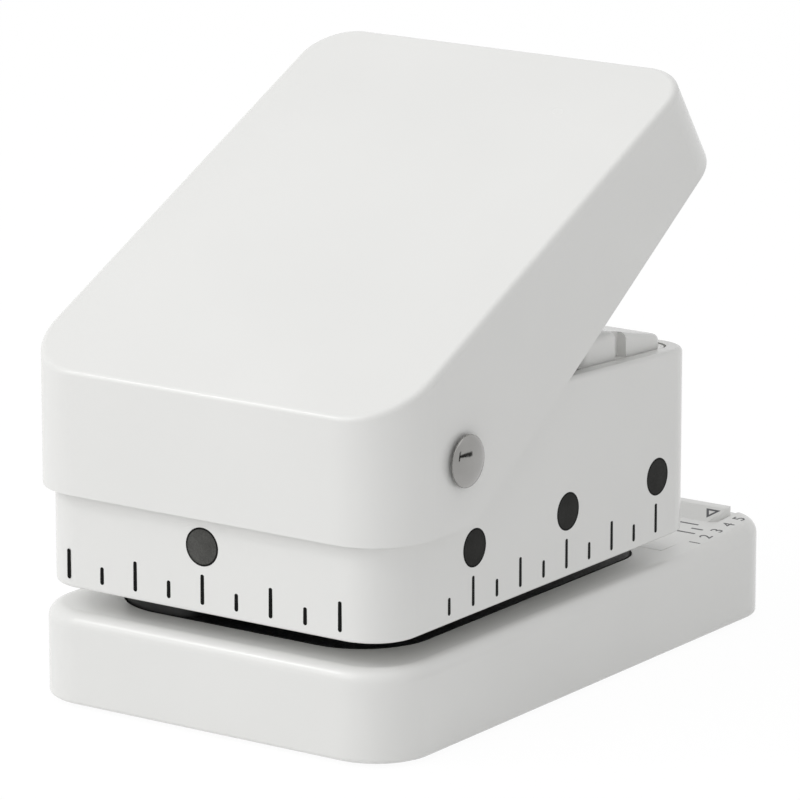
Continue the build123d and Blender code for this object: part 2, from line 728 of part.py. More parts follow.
# Lever: two cheeks on the axle under a flange that is screwed to the handle's bosses
flange_top = ceiling - boss_len
flange_t = 1.5
flange_front = -3.0
flange_back = 25.0
cheek_back = 17.0
dowel_u = dowel_arm * cos(half_swing - tt)
dowel_v = dowel_arm * sin(half_swing - tt)
dowel_pin_r = dowel_r / 2
with BuildPart() as lever:
    for x0 in (hole_x - cheek_out, hole_x + cheek_in):
        with BuildSketch(side(x0, axle_y, axle_z, top_tilt)):
            Circle(axle_r + 2.3)
            with Locations((dowel_u, dowel_v)):
                Circle(dowel_r + 0.4)
            with Locations(((flange_front + cheek_back) / 2, flange_top - flange_t / 2)):
                Rectangle(cheek_back - flange_front, flange_t)
            make_hull()
            Circle(axle_r + run, mode=Mode.SUBTRACT)
            with Locations((dowel_u, dowel_v)):
                Circle(dowel_pin_r + fit, mode=Mode.SUBTRACT)
        extrude(amount=cheek_t)
    with BuildSketch(side(hole_x - cheek_out, axle_y, axle_z, top_tilt)):
        with Locations(((flange_front + flange_back) / 2, flange_top - flange_t / 2)):
            Rectangle(flange_back - flange_front, flange_t)
    extrude(amount=2 * cheek_out)
    lever_plane = boss_plane.offset(-flange_t)
    with BuildSketch(lever_plane):
        with Locations(*bosses_at):
            Circle(lever_screw_r + run)
    extrude(amount=flange_t, mode=Mode.SUBTRACT)
lever.part.label = "lever"
export_step(lever.part, "parts/lever.step")

# Lever screws, heads under the flange
with BuildPart() as lever_screws:
    with BuildSketch(lever_plane.offset(-1.1)):
        with Locations(*bosses_at):
            Circle(small_head_r)
    extrude(amount=1.1)
    with BuildSketch(lever_plane.offset(-0.2)):
        with Locations(*bosses_at):
            Circle(lever_screw_r)
    extrude(amount=flange_t + boss_len)
lever_screws.part.label = "lever_screws"
export_step(lever_screws.part, "parts/lever_screws.step")

# Press dowel: a hard roller-shaped nose held between the cheeks
with BuildPart() as press_dowel:
    with BuildSketch(side(hole_x - cheek_in + 0.1, dowel_y, dowel_z)):
        Circle(dowel_r)
    extrude(amount=2 * cheek_in - 0.2)
    with BuildSketch(side(hole_x - cheek_out, dowel_y, dowel_z)):
        Circle(dowel_pin_r)
    extrude(amount=2 * cheek_out)
press_dowel.part.label = "press_dowel"
export_step(press_dowel.part, "parts/press_dowel.step")

# Press bar: carries the three pins
bar_l = 2 * hole_pitch + 2 * bar_half_w
stem_r = pin_r - 0.75
pad_stem_r = 1.6
pad_y = dowel_y + 0.2
with BuildPart() as press_bar:
    with BuildSketch(level(bar_z0, hole_x, hole_mid_y)):
        SlotOverall(bar_l, 2 * bar_half_w, rotation=90)
    extrude(amount=bar_t)
    chamfer(press_bar.faces().sort_by(Axis.Z)[-1].edges(), 0.4)
    extrude(dots(holes, bar_z0, stem_r + fit), amount=bar_t, mode=Mode.SUBTRACT)
    with BuildSketch(level(bar_z0, hole_x, pad_y)):
        Circle(pad_stem_r + fit)
    extrude(amount=bar_t, mode=Mode.SUBTRACT)
press_bar.part.label = "press_bar"
export_step(press_bar.part, "parts/press_bar.step")

# Pressure pad: hard block on the bar, under the dowel
with BuildPart() as pressure_pad:
    with BuildSketch(level(bar_top, hole_x, pad_y)):
        RectangleRounded(7.6, 7.2, 1.0)
    extrude(amount=pad_top - bar_top)
    chamfer(pressure_pad.faces().sort_by(Axis.Z)[-1].edges(), 0.3)
    with BuildSketch(level(bar_z0, hole_x, pad_y)):
        Circle(pad_stem_r)
    extrude(amount=bar_t + 0.5)
pressure_pad.part.label = "pressure_pad"
export_step(pressure_pad.part, "parts/pressure_pad.step")

# Punch pins: round punches with a notched, shearing tip and a grooved stem
clip_z = bar_top + 0.03
clip_t = 0.45
stem_top = bar_top + 0.85
groove_r = stem_r - 0.45
for name, y in zip(("front", "middle", "rear"), hole_ys):
    with BuildPart() as punch_pin:
        with BuildSketch(level(tip_z, hole_x, y)):
            Circle(pin_r)
        extrude(amount=bar_z0 - tip_z)
        with BuildSketch(level(bar_z0, hole_x, y)):
            Circle(stem_r)
        extrude(amount=stem_top - bar_z0)
        with BuildSketch(level(clip_z - fit, hole_x, y)):
            Circle(stem_r + 1)
            Circle(groove_r, mode=Mode.SUBTRACT)
        extrude(amount=clip_t + 2 * fit, mode=Mode.SUBTRACT)
        with BuildSketch(side(hole_x, y, tip_z)):
            with BuildLine():
                Polyline((-pin_r - 0.1, -0.1), (0, 0.9), (pin_r + 0.1, -0.1), close=True)
            make_face()
        extrude(amount=pin_r + 1, both=True, mode=Mode.SUBTRACT)
    punch_pin.part.label = "punch_pin_" + name
    export_step(punch_pin.part, "parts/punch_pin_" + name + ".step")

# Pin clips: open rings in the stems' grooves
with BuildPart() as pin_clips:
    with BuildSketch(level(clip_z)):
        for y in hole_ys:
            with Locations((hole_x, y)):
                Circle(pin_r + 0.4)
                Circle(groove_r + run, mode=Mode.SUBTRACT)
            with Locations((hole_x + 2.0, y)):
                Rectangle(4.0, 2 * groove_r - 0.5, mode=Mode.SUBTRACT)
    extrude(amount=clip_t)
pin_clips.part.label = "pin_clips"
export_step(pin_clips.part, "parts/pin_clips.step")

# Return springs: wound wire between the body's floor and the bar
spring_z0 = body_in_z + wire_r + 0.02
spring_h = bar_z0 - body_in_z - 2 * wire_r - 0.04
with BuildPart() as return_springs:
    for x, y in springs_at:
        with BuildLine(level(spring_z0, x, y)) as coil:
            Helix(pitch=spring_h / spring_turns, height=spring_h, radius=spring_r)
        with BuildSketch(Plane(origin=coil.line @ 0, z_dir=coil.line % 0)):
            Circle(wire_r)
        sweep(path=coil.line, is_frenet=True)
return_springs.part.label = "return_springs"
export_step(return_springs.part, "parts/return_springs.step")

# Paper guide: plate that slides out of the rear of the base, rising to a raised stop block
ramp = ramp_h / (base_rear - ramp_y0)
guide_rear_z = base_top + ramp * (guide_y1 - ramp_y0)
block_y1 = guide_y1 - 0.5
block_y0 = block_y1 - block_l
block_half = guide_half_w - block_inset
with BuildPart() as guide_block:
    with BuildSketch(side()) as block_profile:
        with BuildLine():
            Polyline(
                (block_y0, base_top - 0.5),
                (block_y1, base_top - 0.5),
                (block_y1, base_top + block_h),
                (block_y0 + 0.6 * block_l, base_top + block_h),
                (block_y0, base_top + ramp * (block_y0 - ramp_y0)),
                close=True,
            )
        make_face()
        fillet(block_profile.vertices().group_by(Axis.Y)[-1], 0.5)
    extrude(amount=block_half, both=True)
    with BuildSketch(level(base_top - 1, 0, (block_y0 + block_y1) / 2)):
        RectangleRounded(2 * block_half, block_l, block_l / 2 - 0.1)
    extrude(amount=4, mode=Mode.INTERSECT)
    with BuildSketch(Plane(origin=(0, block_y1, base_top), x_dir=(1, 0, 0), z_dir=(0, -1, 0))) as ends:
        Rectangle(2 * block_half, 2 * block_h)
        fillet(ends.vertices(), 0.9)
    extrude(amount=block_l, mode=Mode.INTERSECT)

with BuildPart() as paper_guide:
    with BuildSketch(side()):
        with BuildLine():
            Polyline(
                (guide_y0, base_top - guide_t),
                (guide_y1, base_top - guide_t),
                (guide_y1, guide_rear_z),
                (ramp_y0, base_top),
                (guide_y0, base_top),
                close=True,
            )
        make_face()
    extrude(amount=guide_half_w, both=True)
    fillet(paper_guide.edges().filter_by(Axis.Z).group_by(Axis.Y)[-1], 1.6)
    fillet(paper_guide.edges().filter_by(GeomType.CIRCLE).group_by(Axis.Z)[-1], 0.3)
    add(guide_block.part)
    # Tongues in the channel's grooves, and the peg in the slot
    with BuildSketch(level(base_top - guide_t)):
        with Locations((0, guide_y0 + tongue_l / 2)):
            Rectangle(2 * (guide_half_w + tongue_w - 0.1), tongue_l)
    extrude(amount=tongue_h)
    with BuildSketch(level(deck_z + 0.3, 0, peg_y)):
        Circle(peg_r)
    extrude(amount=base_top - guide_t - deck_z)
    # Finger notch in the block's rear face
    with BuildSketch(level(base_top - guide_t, 0, guide_y1 + 5.2)):
        Circle(6.5)
    extrude(amount=5, mode=Mode.SUBTRACT)
paper_guide.part.label = "paper_guide"
export_step(paper_guide.part, "parts/paper_guide.step")
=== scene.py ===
"""Looks for a small three-hole punch for planner sheets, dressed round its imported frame."""
import logging
import math
from abc import ABC, abstractmethod
from dataclasses import dataclass, field
from enum import Enum
from typing import Any, Callable, ClassVar, Optional, Sequence

import bmesh
import bpy
from mathutils import Matrix, Vector


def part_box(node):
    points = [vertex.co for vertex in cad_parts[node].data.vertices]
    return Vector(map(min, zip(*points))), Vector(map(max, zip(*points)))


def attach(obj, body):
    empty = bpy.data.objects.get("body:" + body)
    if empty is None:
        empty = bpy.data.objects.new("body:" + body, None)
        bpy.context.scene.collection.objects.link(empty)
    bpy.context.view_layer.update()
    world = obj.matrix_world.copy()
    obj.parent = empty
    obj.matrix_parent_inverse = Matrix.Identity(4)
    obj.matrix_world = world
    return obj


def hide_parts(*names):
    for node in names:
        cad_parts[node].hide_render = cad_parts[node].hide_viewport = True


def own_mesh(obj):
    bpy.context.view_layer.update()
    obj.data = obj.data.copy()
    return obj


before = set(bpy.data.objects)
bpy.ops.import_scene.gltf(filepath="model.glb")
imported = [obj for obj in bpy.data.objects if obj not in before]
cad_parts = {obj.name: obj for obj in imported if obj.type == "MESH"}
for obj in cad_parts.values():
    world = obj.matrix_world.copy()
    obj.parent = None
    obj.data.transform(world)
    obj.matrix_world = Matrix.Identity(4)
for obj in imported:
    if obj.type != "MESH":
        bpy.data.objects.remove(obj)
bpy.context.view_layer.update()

MM = 0.001
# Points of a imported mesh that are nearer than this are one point, in metres
WELD = 1e-6
# Lengths under this count as none, in metres
NIL = 1e-7
WHITE = (1.0, 1.0, 1.0, 1.0)
log = logging.getLogger("hole_punch")


class Body(Enum):
    """The bodies that the new pieces ride on."""

    FRAME = "frame"
    HANDLE = "handle"
    GUIDE = "guide"


def linear(hex_code: str) -> tuple[float, float, float, float]:
    """Turns an sRGB hex colour into linear light.

    Args:
        hex_code: Six hex digits, with or without a leading hash.

    Returns:
        Linear red, green, blue and an alpha of 1.
    """
    digits = hex_code.lstrip("#")
    shares = [int(digits[i:i + 2], 16) / 255 for i in (0, 2, 4)]
    light = [c / 12.92 if c <= 0.04045 else ((c + 0.055) / 1.055) ** 2.4 for c in shares]
    return light[0], light[1], light[2], 1.0


def add_node(
    tree: bpy.types.NodeTree,
    kind: str,
    settings: Optional[dict[Any, Any]] = None,
    links: Optional[dict[Any, bpy.types.NodeSocket]] = None,
) -> bpy.types.Node:
    """Adds one node with its settings and its incoming links.

    Args:
        tree: The node tree that gets the node.
        kind: The node's type name.
        settings: Input names or attributes with their values.
        links: Input names with the sockets that feed them.

    Returns:
        The new node.
    """
    node = tree.nodes.new(kind)
    for key, value in (settings or {}).items():
        if isinstance(key, int) or key in node.inputs:
            node.inputs[key].default_value = value
        else:
            setattr(node, key, value)
    for key, source in (links or {}).items():
        tree.links.new(source, node.inputs[key])
    return node


def per_mm(size_mm: float) -> float:
    """Gives the texture scale whose features are size_mm across on Object coordinates."""
    return 1.0 / (size_mm * MM)


def new_material(name: str) -> tuple[bpy.types.Material, bpy.types.NodeTree]:
    """Makes an empty node material.

    Args:
        name: The material's name.

    Returns:
        The material and its cleared node tree.
    """
    material = bpy.data.materials.new(name)
    material.use_nodes = True
    material.node_tree.nodes.clear()
    return material, material.node_tree


@dataclass(frozen=True)
class Textures:
    """What drives one surface: three values from 0 to 1, and the settings that are the same all over it."""

    tone: bpy.types.NodeSocket
    gloss: bpy.types.NodeSocket
    relief: bpy.types.NodeSocket
    strength: float
    settings: dict[str, float]


@dataclass(frozen=True)
class Surface(ABC):
    """What all finishes share: two tones that run into each other, a gloss between two limits and a fine relief."""

    name: str
    light_hex: str
    shade_hex: str
    gloss_low: float
    gloss_high: float
    # The parts of the textures' range that are spread over the tones and the gloss, and the height of the relief
    tone_span: ClassVar[tuple[float, float]] = (0.30, 0.70)
    gloss_span: ClassVar[tuple[float, float]] = (0.30, 0.70)
    relief_depth: ClassVar[float] = 0.03 * MM

    @abstractmethod
    def textures(self, tree: bpy.types.NodeTree, spot: bpy.types.NodeSocket) -> Textures:
        """Adds the textures that drive the surface.

        Args:
            tree: The material's node tree.
            spot: The object's own coordinates.

        Returns:
            The values and settings of the surface.
        """

    def build(self) -> bpy.types.Material:
        """Builds the node material.

        Returns:
            The finished material.
        """
        material, tree = new_material(self.name)
        drive = self.textures(tree, add_node(tree, "ShaderNodeTexCoord").outputs["Object"])
        tone = add_node(tree, "ShaderNodeValToRGB", links={"Fac": drive.tone})
        for k, hex_code in enumerate((self.shade_hex, self.light_hex)):
            tone.color_ramp.elements[k].position = self.tone_span[k]
            tone.color_ramp.elements[k].color = linear(hex_code)
        limits = {
            "From Min": self.gloss_span[0],
            "From Max": self.gloss_span[1],
            "To Min": self.gloss_low,
            "To Max": self.gloss_high,
        }
        gloss = add_node(tree, "ShaderNodeMapRange", limits, {"Value": drive.gloss})
        bump = add_node(
            tree,
            "ShaderNodeBump",
            {"Strength": drive.strength, "Distance": self.relief_depth},
            {"Height": drive.relief},
        )
        shader = add_node(
            tree,
            "ShaderNodeBsdfPrincipled",
            drive.settings,
            {
                "Base Color": tone.outputs["Color"],
                "Roughness": gloss.outputs["Result"],
                "Normal": bump.outputs["Normal"],
            },
        )
        add_node(tree, "ShaderNodeOutputMaterial", links={"Surface": shader.outputs["BSDF"]})
        return material


@dataclass(frozen=True)
class MouldedPlastic(Surface):
    """Injection-moulded plastic: an even tone, a trace of orange peel and slightly uneven gloss."""

    # The peel and the grain are drawn coarser than real ones, so that they show
    peel_mm: float = 1.4
    peel_strength: float = 0.06
    ior: float = 1.54
    flow_mm: ClassVar[float] = 26.0
    sheen_mm: ClassVar[float] = 9.0
    tone_span: ClassVar[tuple[float, float]] = (0.15, 0.85)
    gloss_span: ClassVar[tuple[float, float]] = (0.15, 0.85)
    relief_depth: ClassVar[float] = 0.05 * MM

    def textures(self, tree: bpy.types.NodeTree, spot: bpy.types.NodeSocket) -> Textures:
        """Adds the flow of the melt, the uneven sheen and the peel.

        Args:
            tree: The material's node tree.
            spot: The object's own coordinates.

        Returns:
            The values and settings of the plastic.
        """
        flow = add_node(
            tree, "ShaderNodeTexNoise", {"Scale": per_mm(self.flow_mm), "Detail": 2.0}, {"Vector": spot}
        )
        sheen = add_node(
            tree, "ShaderNodeTexNoise", {"Scale": per_mm(self.sheen_mm), "Detail": 1.0}, {"Vector": spot}
        )
        peel = add_node(
            tree, "ShaderNodeTexNoise", {"Scale": per_mm(self.peel_mm), "Detail": 1.5}, {"Vector": spot}
        )
        return Textures(
            tone=flow.outputs["Fac"],
            gloss=sheen.outputs["Fac"],
            relief=peel.outputs["Fac"],
            strength=self.peel_strength,
            settings={"IOR": self.ior},
        )


@dataclass(frozen=True)
class GrainedMetal(Surface):
    """Metal with drawn or ground lines: they break the reflections along one direction."""

    # The lines are drawn coarser than real ones, so that they show
    line_mm: float
    stretch: tuple[float, float, float]
    line_strength: float = 0.12
    cloud_mm: ClassVar[float] = 6.0
    tone_span: ClassVar[tuple[float, float]] = (0.32, 0.68)
    relief_depth: ClassVar[float] = 0.02 * MM

    def textures(self, tree: bpy.types.NodeTree, spot: bpy.types.NodeSocket) -> Textures:
        """Adds the cloudy tone, and the lines that vary the gloss and stand in relief.

        Args:
            tree: The material's node tree.
            spot: The object's own coordinates.

        Returns:
            The values and settings of the metal.
        """
        along = add_node(tree, "ShaderNodeMapping", {"Scale": self.stretch}, {"Vector": spot})
        lines = add_node(
            tree,
            "ShaderNodeTexNoise",
            {"Scale": per_mm(self.line_mm), "Detail": 4.0, "Roughness": 0.6},
            {"Vector": along.outputs["Vector"]},
        )
        cloud = add_node(
            tree, "ShaderNodeTexNoise", {"Scale": per_mm(self.cloud_mm), "Detail": 3.0}, {"Vector": spot}
        )
        return Textures(
            tone=cloud.outputs["Fac"],
            gloss=lines.outputs["Fac"],
            relief=lines.outputs["Fac"],
            strength=self.line_strength,
            settings={"Metallic": 1.0},
        )


@dataclass(frozen=True)
class MattePigment(Surface):
    """Printed ink, rubber or blackened steel: a dull, slightly mottled coat with a fine tooth."""

    mottle_mm: float
    # The tooth is drawn coarser than a real one, so that it shows
    tooth_mm: float
    tooth_strength: float
    ior: float = 1.5
    metallic: float = 0.0

    def textures(self, tree: bpy.types.NodeTree, spot: bpy.types.NodeSocket) -> Textures:
        """Adds the mottled tone, and the tooth that varies the gloss and stands in relief.

        Args:
            tree: The material's node tree.
            spot: The object's own coordinates.

        Returns:
            The values and settings of the coat.
        """
        mottle = add_node(
            tree, "ShaderNodeTexNoise", {"Scale": per_mm(self.mottle_mm), "Detail": 4.0}, {"Vector": spot}
        )
        tooth = add_node(
            tree, "ShaderNodeTexNoise", {"Scale": per_mm(self.tooth_mm), "Detail": 2.0}, {"Vector": spot}
        )
        return Textures(
            tone=mottle.outputs["Fac"],
            gloss=tooth.outputs["Fac"],
            relief=tooth.outputs["Fac"],
            strength=self.tooth_strength,
            settings={"IOR": self.ior, "Metallic": self.metallic},
        )


class Finish(Enum):
    """Every finish on the punch."""

    # White ABS, moulded in a polished tool: a clean, glossy skin
    WHITE_ABS = MouldedPlastic("white_abs_moulded", "#F0F0EE", "#EBEBE9", 0.20, 0.28)
    # Grey ABS from a spark-eroded tool: a fine matt grain under the base
    GREY_ABS = MouldedPlastic("grey_abs_grained", "#B9BABB", "#AEAFB0", 0.50, 0.62, 0.5, 0.35)
    # Black acetal: waxy, almost black
    BLACK_ACETAL = MouldedPlastic("black_acetal_moulded", "#161617", "#101011", 0.32, 0.42, 0.9, 0.08, 1.48)
    # Chrome plate over polished steel: mirror-like, with a breath of haze; its colour is darkened below real chrome's
    # as painted grey reflections of darker surroundings
    CHROME = GrainedMetal("chrome_plate_painted_dim_reflections", "#9C9B99", "#8E8D8B", 0.06, 0.12, 0.5, (1, 1, 1), 0.02)
    # Zinc-plated sheet steel: bluish, with rolling lines along the strip
    ZINC = GrainedMetal("zinc_plated_steel_rolled", "#C3C7CB", "#AEB3B9", 0.28, 0.42, 0.25, (1, 0.06, 1))
    # Tool steel, ground round: fine lines across the axis
    TOOL_STEEL = GrainedMetal("tool_steel_ground", "#B4B5B7", "#9C9DA0", 0.18, 0.30, 0.2, (0.08, 0.08, 1))
    # Spring wire, drawn and oiled: darker, with long faint streaks
    SPRING_WIRE = GrainedMetal("spring_wire_drawn", "#8F9093", "#77787B", 0.25, 0.36, 0.3, (1, 1, 0.2))
    # Turned brass: warm, with tool lines round the bush
    BRASS = GrainedMetal("brass_turned", "#D9B15C", "#C49B48", 0.20, 0.32, 0.2, (0.1, 0.1, 1))
    # Zinc-plated screws: bright, with a fine even grain
    SCREW = GrainedMetal("zinc_plated_screw", "#C9CBCE", "#B0B3B7", 0.22, 0.36, 0.3, (1, 1, 1))
    # Blackened steel plate: oxide black with a dull, cloudy bloom
    BLACK_STEEL = MattePigment("blackened_steel_plate", "#191A1C", "#0E0F10", 0.42, 0.60, 3.0, 0.3, 0.15, 1.35, 0.2)
    # Soft rubber: dull black with a bloom of dust
    RUBBER = MattePigment("black_rubber_moulded", "#2B2B2A", "#212120", 0.62, 0.80, 2.0, 0.35, 0.30)
    # Pad-printed black ink: a thin satin film
    INK = MattePigment("pad_print_black", "#0E0E0D", "#080808", 0.50, 0.64, 1.0, 0.2, 0.10, 1.2)
    # Pad-printed charcoal ink inside the rings of the dots: a shade paler than the black
    CHARCOAL = MattePigment("pad_print_charcoal", "#272725", "#1F1F1D", 0.48, 0.62, 1.5, 0.25, 0.12, 1.22)
    # Soft-touch charcoal button: paler, with a sheen
    BUTTON = MattePigment("charcoal_button_moulded", "#4A4A47", "#3E3E3B", 0.22, 0.34, 1.2, 0.3, 0.10, 1.38)
    # Pad-printed grey ink of the guide's lines, pointer and numbers: softer than the black
    GREY_INK = MattePigment("pad_print_grey", "#55565A", "#46474A", 0.40, 0.55, 1.0, 0.2, 0.10)


_materials: dict[Finish, bpy.types.Material] = {}


def material_of(finish: Finish) -> bpy.types.Material:
    """Gives a finish's material, built on first use.

    Args:
        finish: The finish wanted.

    Returns:
        Its node material.
    """
    if finish not in _materials:
        _materials[finish] = finish.value.build()
    return _materials[finish]


def link_object(name: str, data: bpy.types.ID) -> bpy.types.Object:
    """Makes an object of the scene from its data.

    Args:
        name: The object's name.
        data: Its mesh, camera or lamp.

    Returns:
        The linked object.
    """
    made = bpy.data.objects.new(name, data)
    bpy.context.scene.collection.objects.link(made)
    return made


def link_mesh(name: str, bm: bmesh.types.BMesh) -> bpy.types.Object:
    """Turns a bmesh into an object of the scene, and frees it.

    Args:
        name: Name of the object and of its mesh.
        bm: The finished bmesh.

    Returns:
        The linked object.
    """
    mesh = bpy.data.meshes.new(name)
    bm.to_mesh(mesh)
    bm.free()
    return link_object(name, mesh)


@dataclass
class Piece:
    """A new visible piece: its mesh, the finishes it uses and what it rides on."""

    name: str
    body: Body
    slot: str
    finishes: Sequence[Finish]
    replaced: Sequence[str] = ()

    def make(self, mesh_builder: Callable[[bmesh.types.BMesh], None], smooth_deg: float = 35.0) -> bpy.types.Object:
        """Builds the mesh, gives it its finishes, hangs it on its body and hides the imported nodes it replaces.

        Args:
            mesh_builder: Fills an empty bmesh, in metres in the frame's axes.
            smooth_deg: Edges sharper than this stay crisp.

        Returns:
            The finished object.
        """
        bm = bmesh.new()
        mesh_builder(bm)
        piece = link_mesh(self.name, bm)
        mesh = piece.data
        mesh.shade_smooth()
        mesh.set_sharp_from_angle(angle=math.radians(smooth_deg))
        for finish in self.finishes:
            mesh.materials.append(material_of(finish))
        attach(piece, self.body.value)
        if self.replaced:
            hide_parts(*self.replaced)
        log.info("%s rides on %s, %d faces", self.name, self.body.value, len(mesh.polygons))
        return piece


def face_frame(origin: Vector, right: Vector, up: Vector) -> Matrix:
    """Gives the placing of a flat drawing on a face.

    Args:
        origin: The drawing's origin on the face, in metres.
        right: The drawing's X direction.
        up: The drawing's Y direction.

    Returns:
        A matrix whose Z axis points out of the face.
    """
    out = right.cross(up)
    turn = Matrix((right, up, out)).transposed().to_4x4()
    return Matrix.Translation(origin) @ turn


def lean_to(out: Sequence[float]) -> Matrix:
    """Gives the turn that points a shape's Z along a direction."""
    return Vector(out).to_track_quat("Z", "Y").to_matrix().to_4x4()


def only_verts(geom: Sequence[Any]) -> list[bmesh.types.BMVert]:
    """Gives the vertices among some parts of a mesh."""
    return [item for item in geom if isinstance(item, bmesh.types.BMVert)]


def faces_at(verts: Sequence[bmesh.types.BMVert]) -> list[bmesh.types.BMFace]:
    """Gives the faces that meet some vertices."""
    return list({face for vert in verts for face in vert.link_faces})


def flat_faces(bm: bmesh.types.BMesh, verts: Sequence[bmesh.types.BMVert], upward: bool) -> list[bmesh.types.BMFace]:
    """Turns the faces of a flat outline to one side.

    Args:
        bm: The mesh that holds the outline.
        verts: The outline's vertices.
        upward: True for faces that look along Z, False for ones that look against it.

    Returns:
        The turned faces.
    """
    faces = faces_at(verts)
    bmesh.ops.recalc_face_normals(bm, faces=faces)
    if (faces[0].normal.z > 0) != upward:
        bmesh.ops.reverse_faces(bm, faces=faces)
    return faces


def spin_outline(bm: bmesh.types.BMesh, line: Sequence[tuple[float, float]], steps: int) -> None:
    """Spins a half outline about Z.

    Args:
        bm: The empty mesh that gets the shape.
        line: Radius and height of each point.
        steps: How many facets go round.
    """
    verts = [bm.verts.new((r, 0, z)) for r, z in line]
    edges = [bm.edges.new(pair) for pair in zip(verts, verts[1:])]
    bmesh.ops.spin(
        bm, geom=verts + edges, cent=(0, 0, 0), axis=(0, 0, 1), angle=math.tau, steps=steps, use_merge=True
    )
    bmesh.ops.remove_doubles(bm, verts=bm.verts[:], dist=NIL)


def add_bar(
    bm: bmesh.types.BMesh, place: Matrix, width: float, length: float, film: float, segments: int = 16
) -> None:
    """Adds a round-ended bar of ink, standing up from its lower end.

    Args:
        bm: The mesh that gets the bar.
        place: The bar's placing; it runs along Y from the origin.
        width: Width of the bar.
        length: Length over the round ends.
        film: Thickness of the ink.
        segments: How many edges the two round ends have together.
    """
    ring = bmesh.ops.create_circle(bm, cap_ends=True, radius=width / 2, segments=segments)["verts"]
    for vert in ring:
        vert.co.y += width / 2 if vert.co.y < NIL else length - width / 2
    raise_film(bm, ring, place, film)


def raise_film(bm: bmesh.types.BMesh, verts: Sequence[bmesh.types.BMVert], place: Matrix, film: float) -> None:
    """Thickens a flat outline into a film of ink and puts it on its face.

    Args:
        bm: The mesh that holds the outline.
        verts: The outline's vertices.
        place: The placing on the face.
        film: Thickness of the ink.
    """
    faces = flat_faces(bm, verts, upward=False)
    top = only_verts(bmesh.ops.extrude_face_region(bm, geom=faces, use_keep_orig=True)["geom"])
    bmesh.ops.translate(bm, verts=top, vec=(0, 0, film))
    both = list(verts) + top
    bmesh.ops.recalc_face_normals(bm, faces=faces_at(both))
    bmesh.ops.transform(bm, matrix=place, verts=both)


@dataclass
class PrintedScale:
    """The ruler ticks round the bottom of the body, and the dots over the hole lines."""

    step: float = 4.75 * MM
    low_z: float = 15.1 * MM
    short: float = 2.08 * MM
    long: float = 3.54 * MM
    width: float = 0.52 * MM
    film: float = 0.02 * MM
    front_start: float = -19.7 * MM
    front_count: int = 9
    side_start: float = -26.7 * MM
    side_count: int = 10
    dot_z: float = 21.85 * MM
    dot_r: float = 2.25 * MM
    dot_steps: int = 64
    ring: float = 0.22 * MM
    flat_rise: float = 0.02 * MM
    dome_rise: float = 0.28 * MM
    # The steps in from the ring: their width as a share of the radius, and the parts of the rise they take
    dome_step: float = 0.22
    dome_shares: Sequence[float] = (0.35, 0.5, 0.65)
    inner_finish: int = 1
    front_dot_x: float = -0.7 * MM
    side_dots_y: Sequence[float] = (-21.7 * MM, -2.7 * MM, 16.3 * MM)
    low: Vector = field(default_factory=lambda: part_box("body_shell")[0])
    high: Vector = field(default_factory=lambda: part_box("body_shell")[1])

    def front(self, x: float, z: float) -> Matrix:
        """Gives a placing on the body's front face."""
        return face_frame(Vector((x, self.low[1], z)), Vector((1, 0, 0)), Vector((0, 0, 1)))

    def side(self, y: float, z: float) -> Matrix:
        """Gives a placing on the body's right face."""
        return face_frame(Vector((self.high[0], y, z)), Vector((0, 1, 0)), Vector((0, 0, 1)))

    def ticks(self, bm: bmesh.types.BMesh) -> None:
        """Draws the ticks of both faces.

        Args:
            bm: The mesh that gets the ticks.
        """
        for k in range(self.front_count):
            place = self.front(self.front_start + k * self.step, self.low_z)
            add_bar(bm, place, self.width, self.short if k % 2 else self.long, self.film)
        for k in range(self.side_count):
            place = self.side(self.side_start + k * self.step, self.low_z)
            add_bar(bm, place, self.width, self.long if k % 2 else self.short, self.film)

    def add_dot(self, bm: bmesh.types.BMesh, place: Matrix, rise: float) -> None:
        """Adds a dot with a black ring.

        Args:
            bm: The mesh that gets the dot.
            place: The dot's placing, at its middle.
            rise: How far the middle of the dot stands out past the ring.
        """
        made = bmesh.ops.create_circle(bm, cap_ends=True, radius=self.dot_r, segments=self.dot_steps)["verts"]
        middle = flat_faces(bm, made, upward=True)[0]
        bmesh.ops.translate(bm, verts=made, vec=(0, 0, self.film))
        skirt = bmesh.ops.extrude_edge_only(bm, edges=list(middle.edges))["geom"]
        bmesh.ops.translate(bm, verts=only_verts(skirt), vec=(0, 0, -self.film))
        bmesh.ops.inset_region(bm, faces=[middle], thickness=self.ring, use_even_offset=True)
        middle.material_index = self.inner_finish
        for share in self.dome_shares:
            grown = bmesh.ops.inset_region(
                bm,
                faces=[middle],
                thickness=self.dot_r * self.dome_step,
                depth=rise * share / sum(self.dome_shares),
                use_even_offset=True,
            )["faces"]
            for face in grown:
                face.material_index = self.inner_finish
        bmesh.ops.transform(bm, matrix=place, verts=self.connected(middle))

    @staticmethod
    def connected(face: bmesh.types.BMFace) -> list[bmesh.types.BMVert]:
        """Gives every vertex joined to a face.

        Args:
            face: The face to start from.

        Returns:
            The vertices of its island.
        """
        seen = set(face.verts)
        front = list(seen)
        while front:
            vert = front.pop()
            for edge in vert.link_edges:
                other = edge.other_vert(vert)
                if other not in seen:
                    seen.add(other)
                    front.append(other)
        return list(seen)

    def side_dots(self, bm: bmesh.types.BMesh) -> None:
        """Draws the dots on the right face."""
        for y in self.side_dots_y:
            self.add_dot(bm, self.side(y, self.dot_z), self.flat_rise)

    def front_dot(self, bm: bmesh.types.BMesh) -> None:
        """Draws the button-like dot on the front face."""
        self.add_dot(bm, self.front(self.front_dot_x, self.dot_z), self.dome_rise)

    def build(self) -> None:
        """Makes the ticks and the dots."""
        Piece("scale_ticks", Body.FRAME, "black_plastic", [Finish.INK]).make(self.ticks)
        Piece("side_dots", Body.FRAME, "black_plastic", [Finish.INK, Finish.CHARCOAL]).make(self.side_dots)
        Piece("front_dot", Body.FRAME, "black_plastic", [Finish.INK, Finish.BUTTON]).make(self.front_dot)


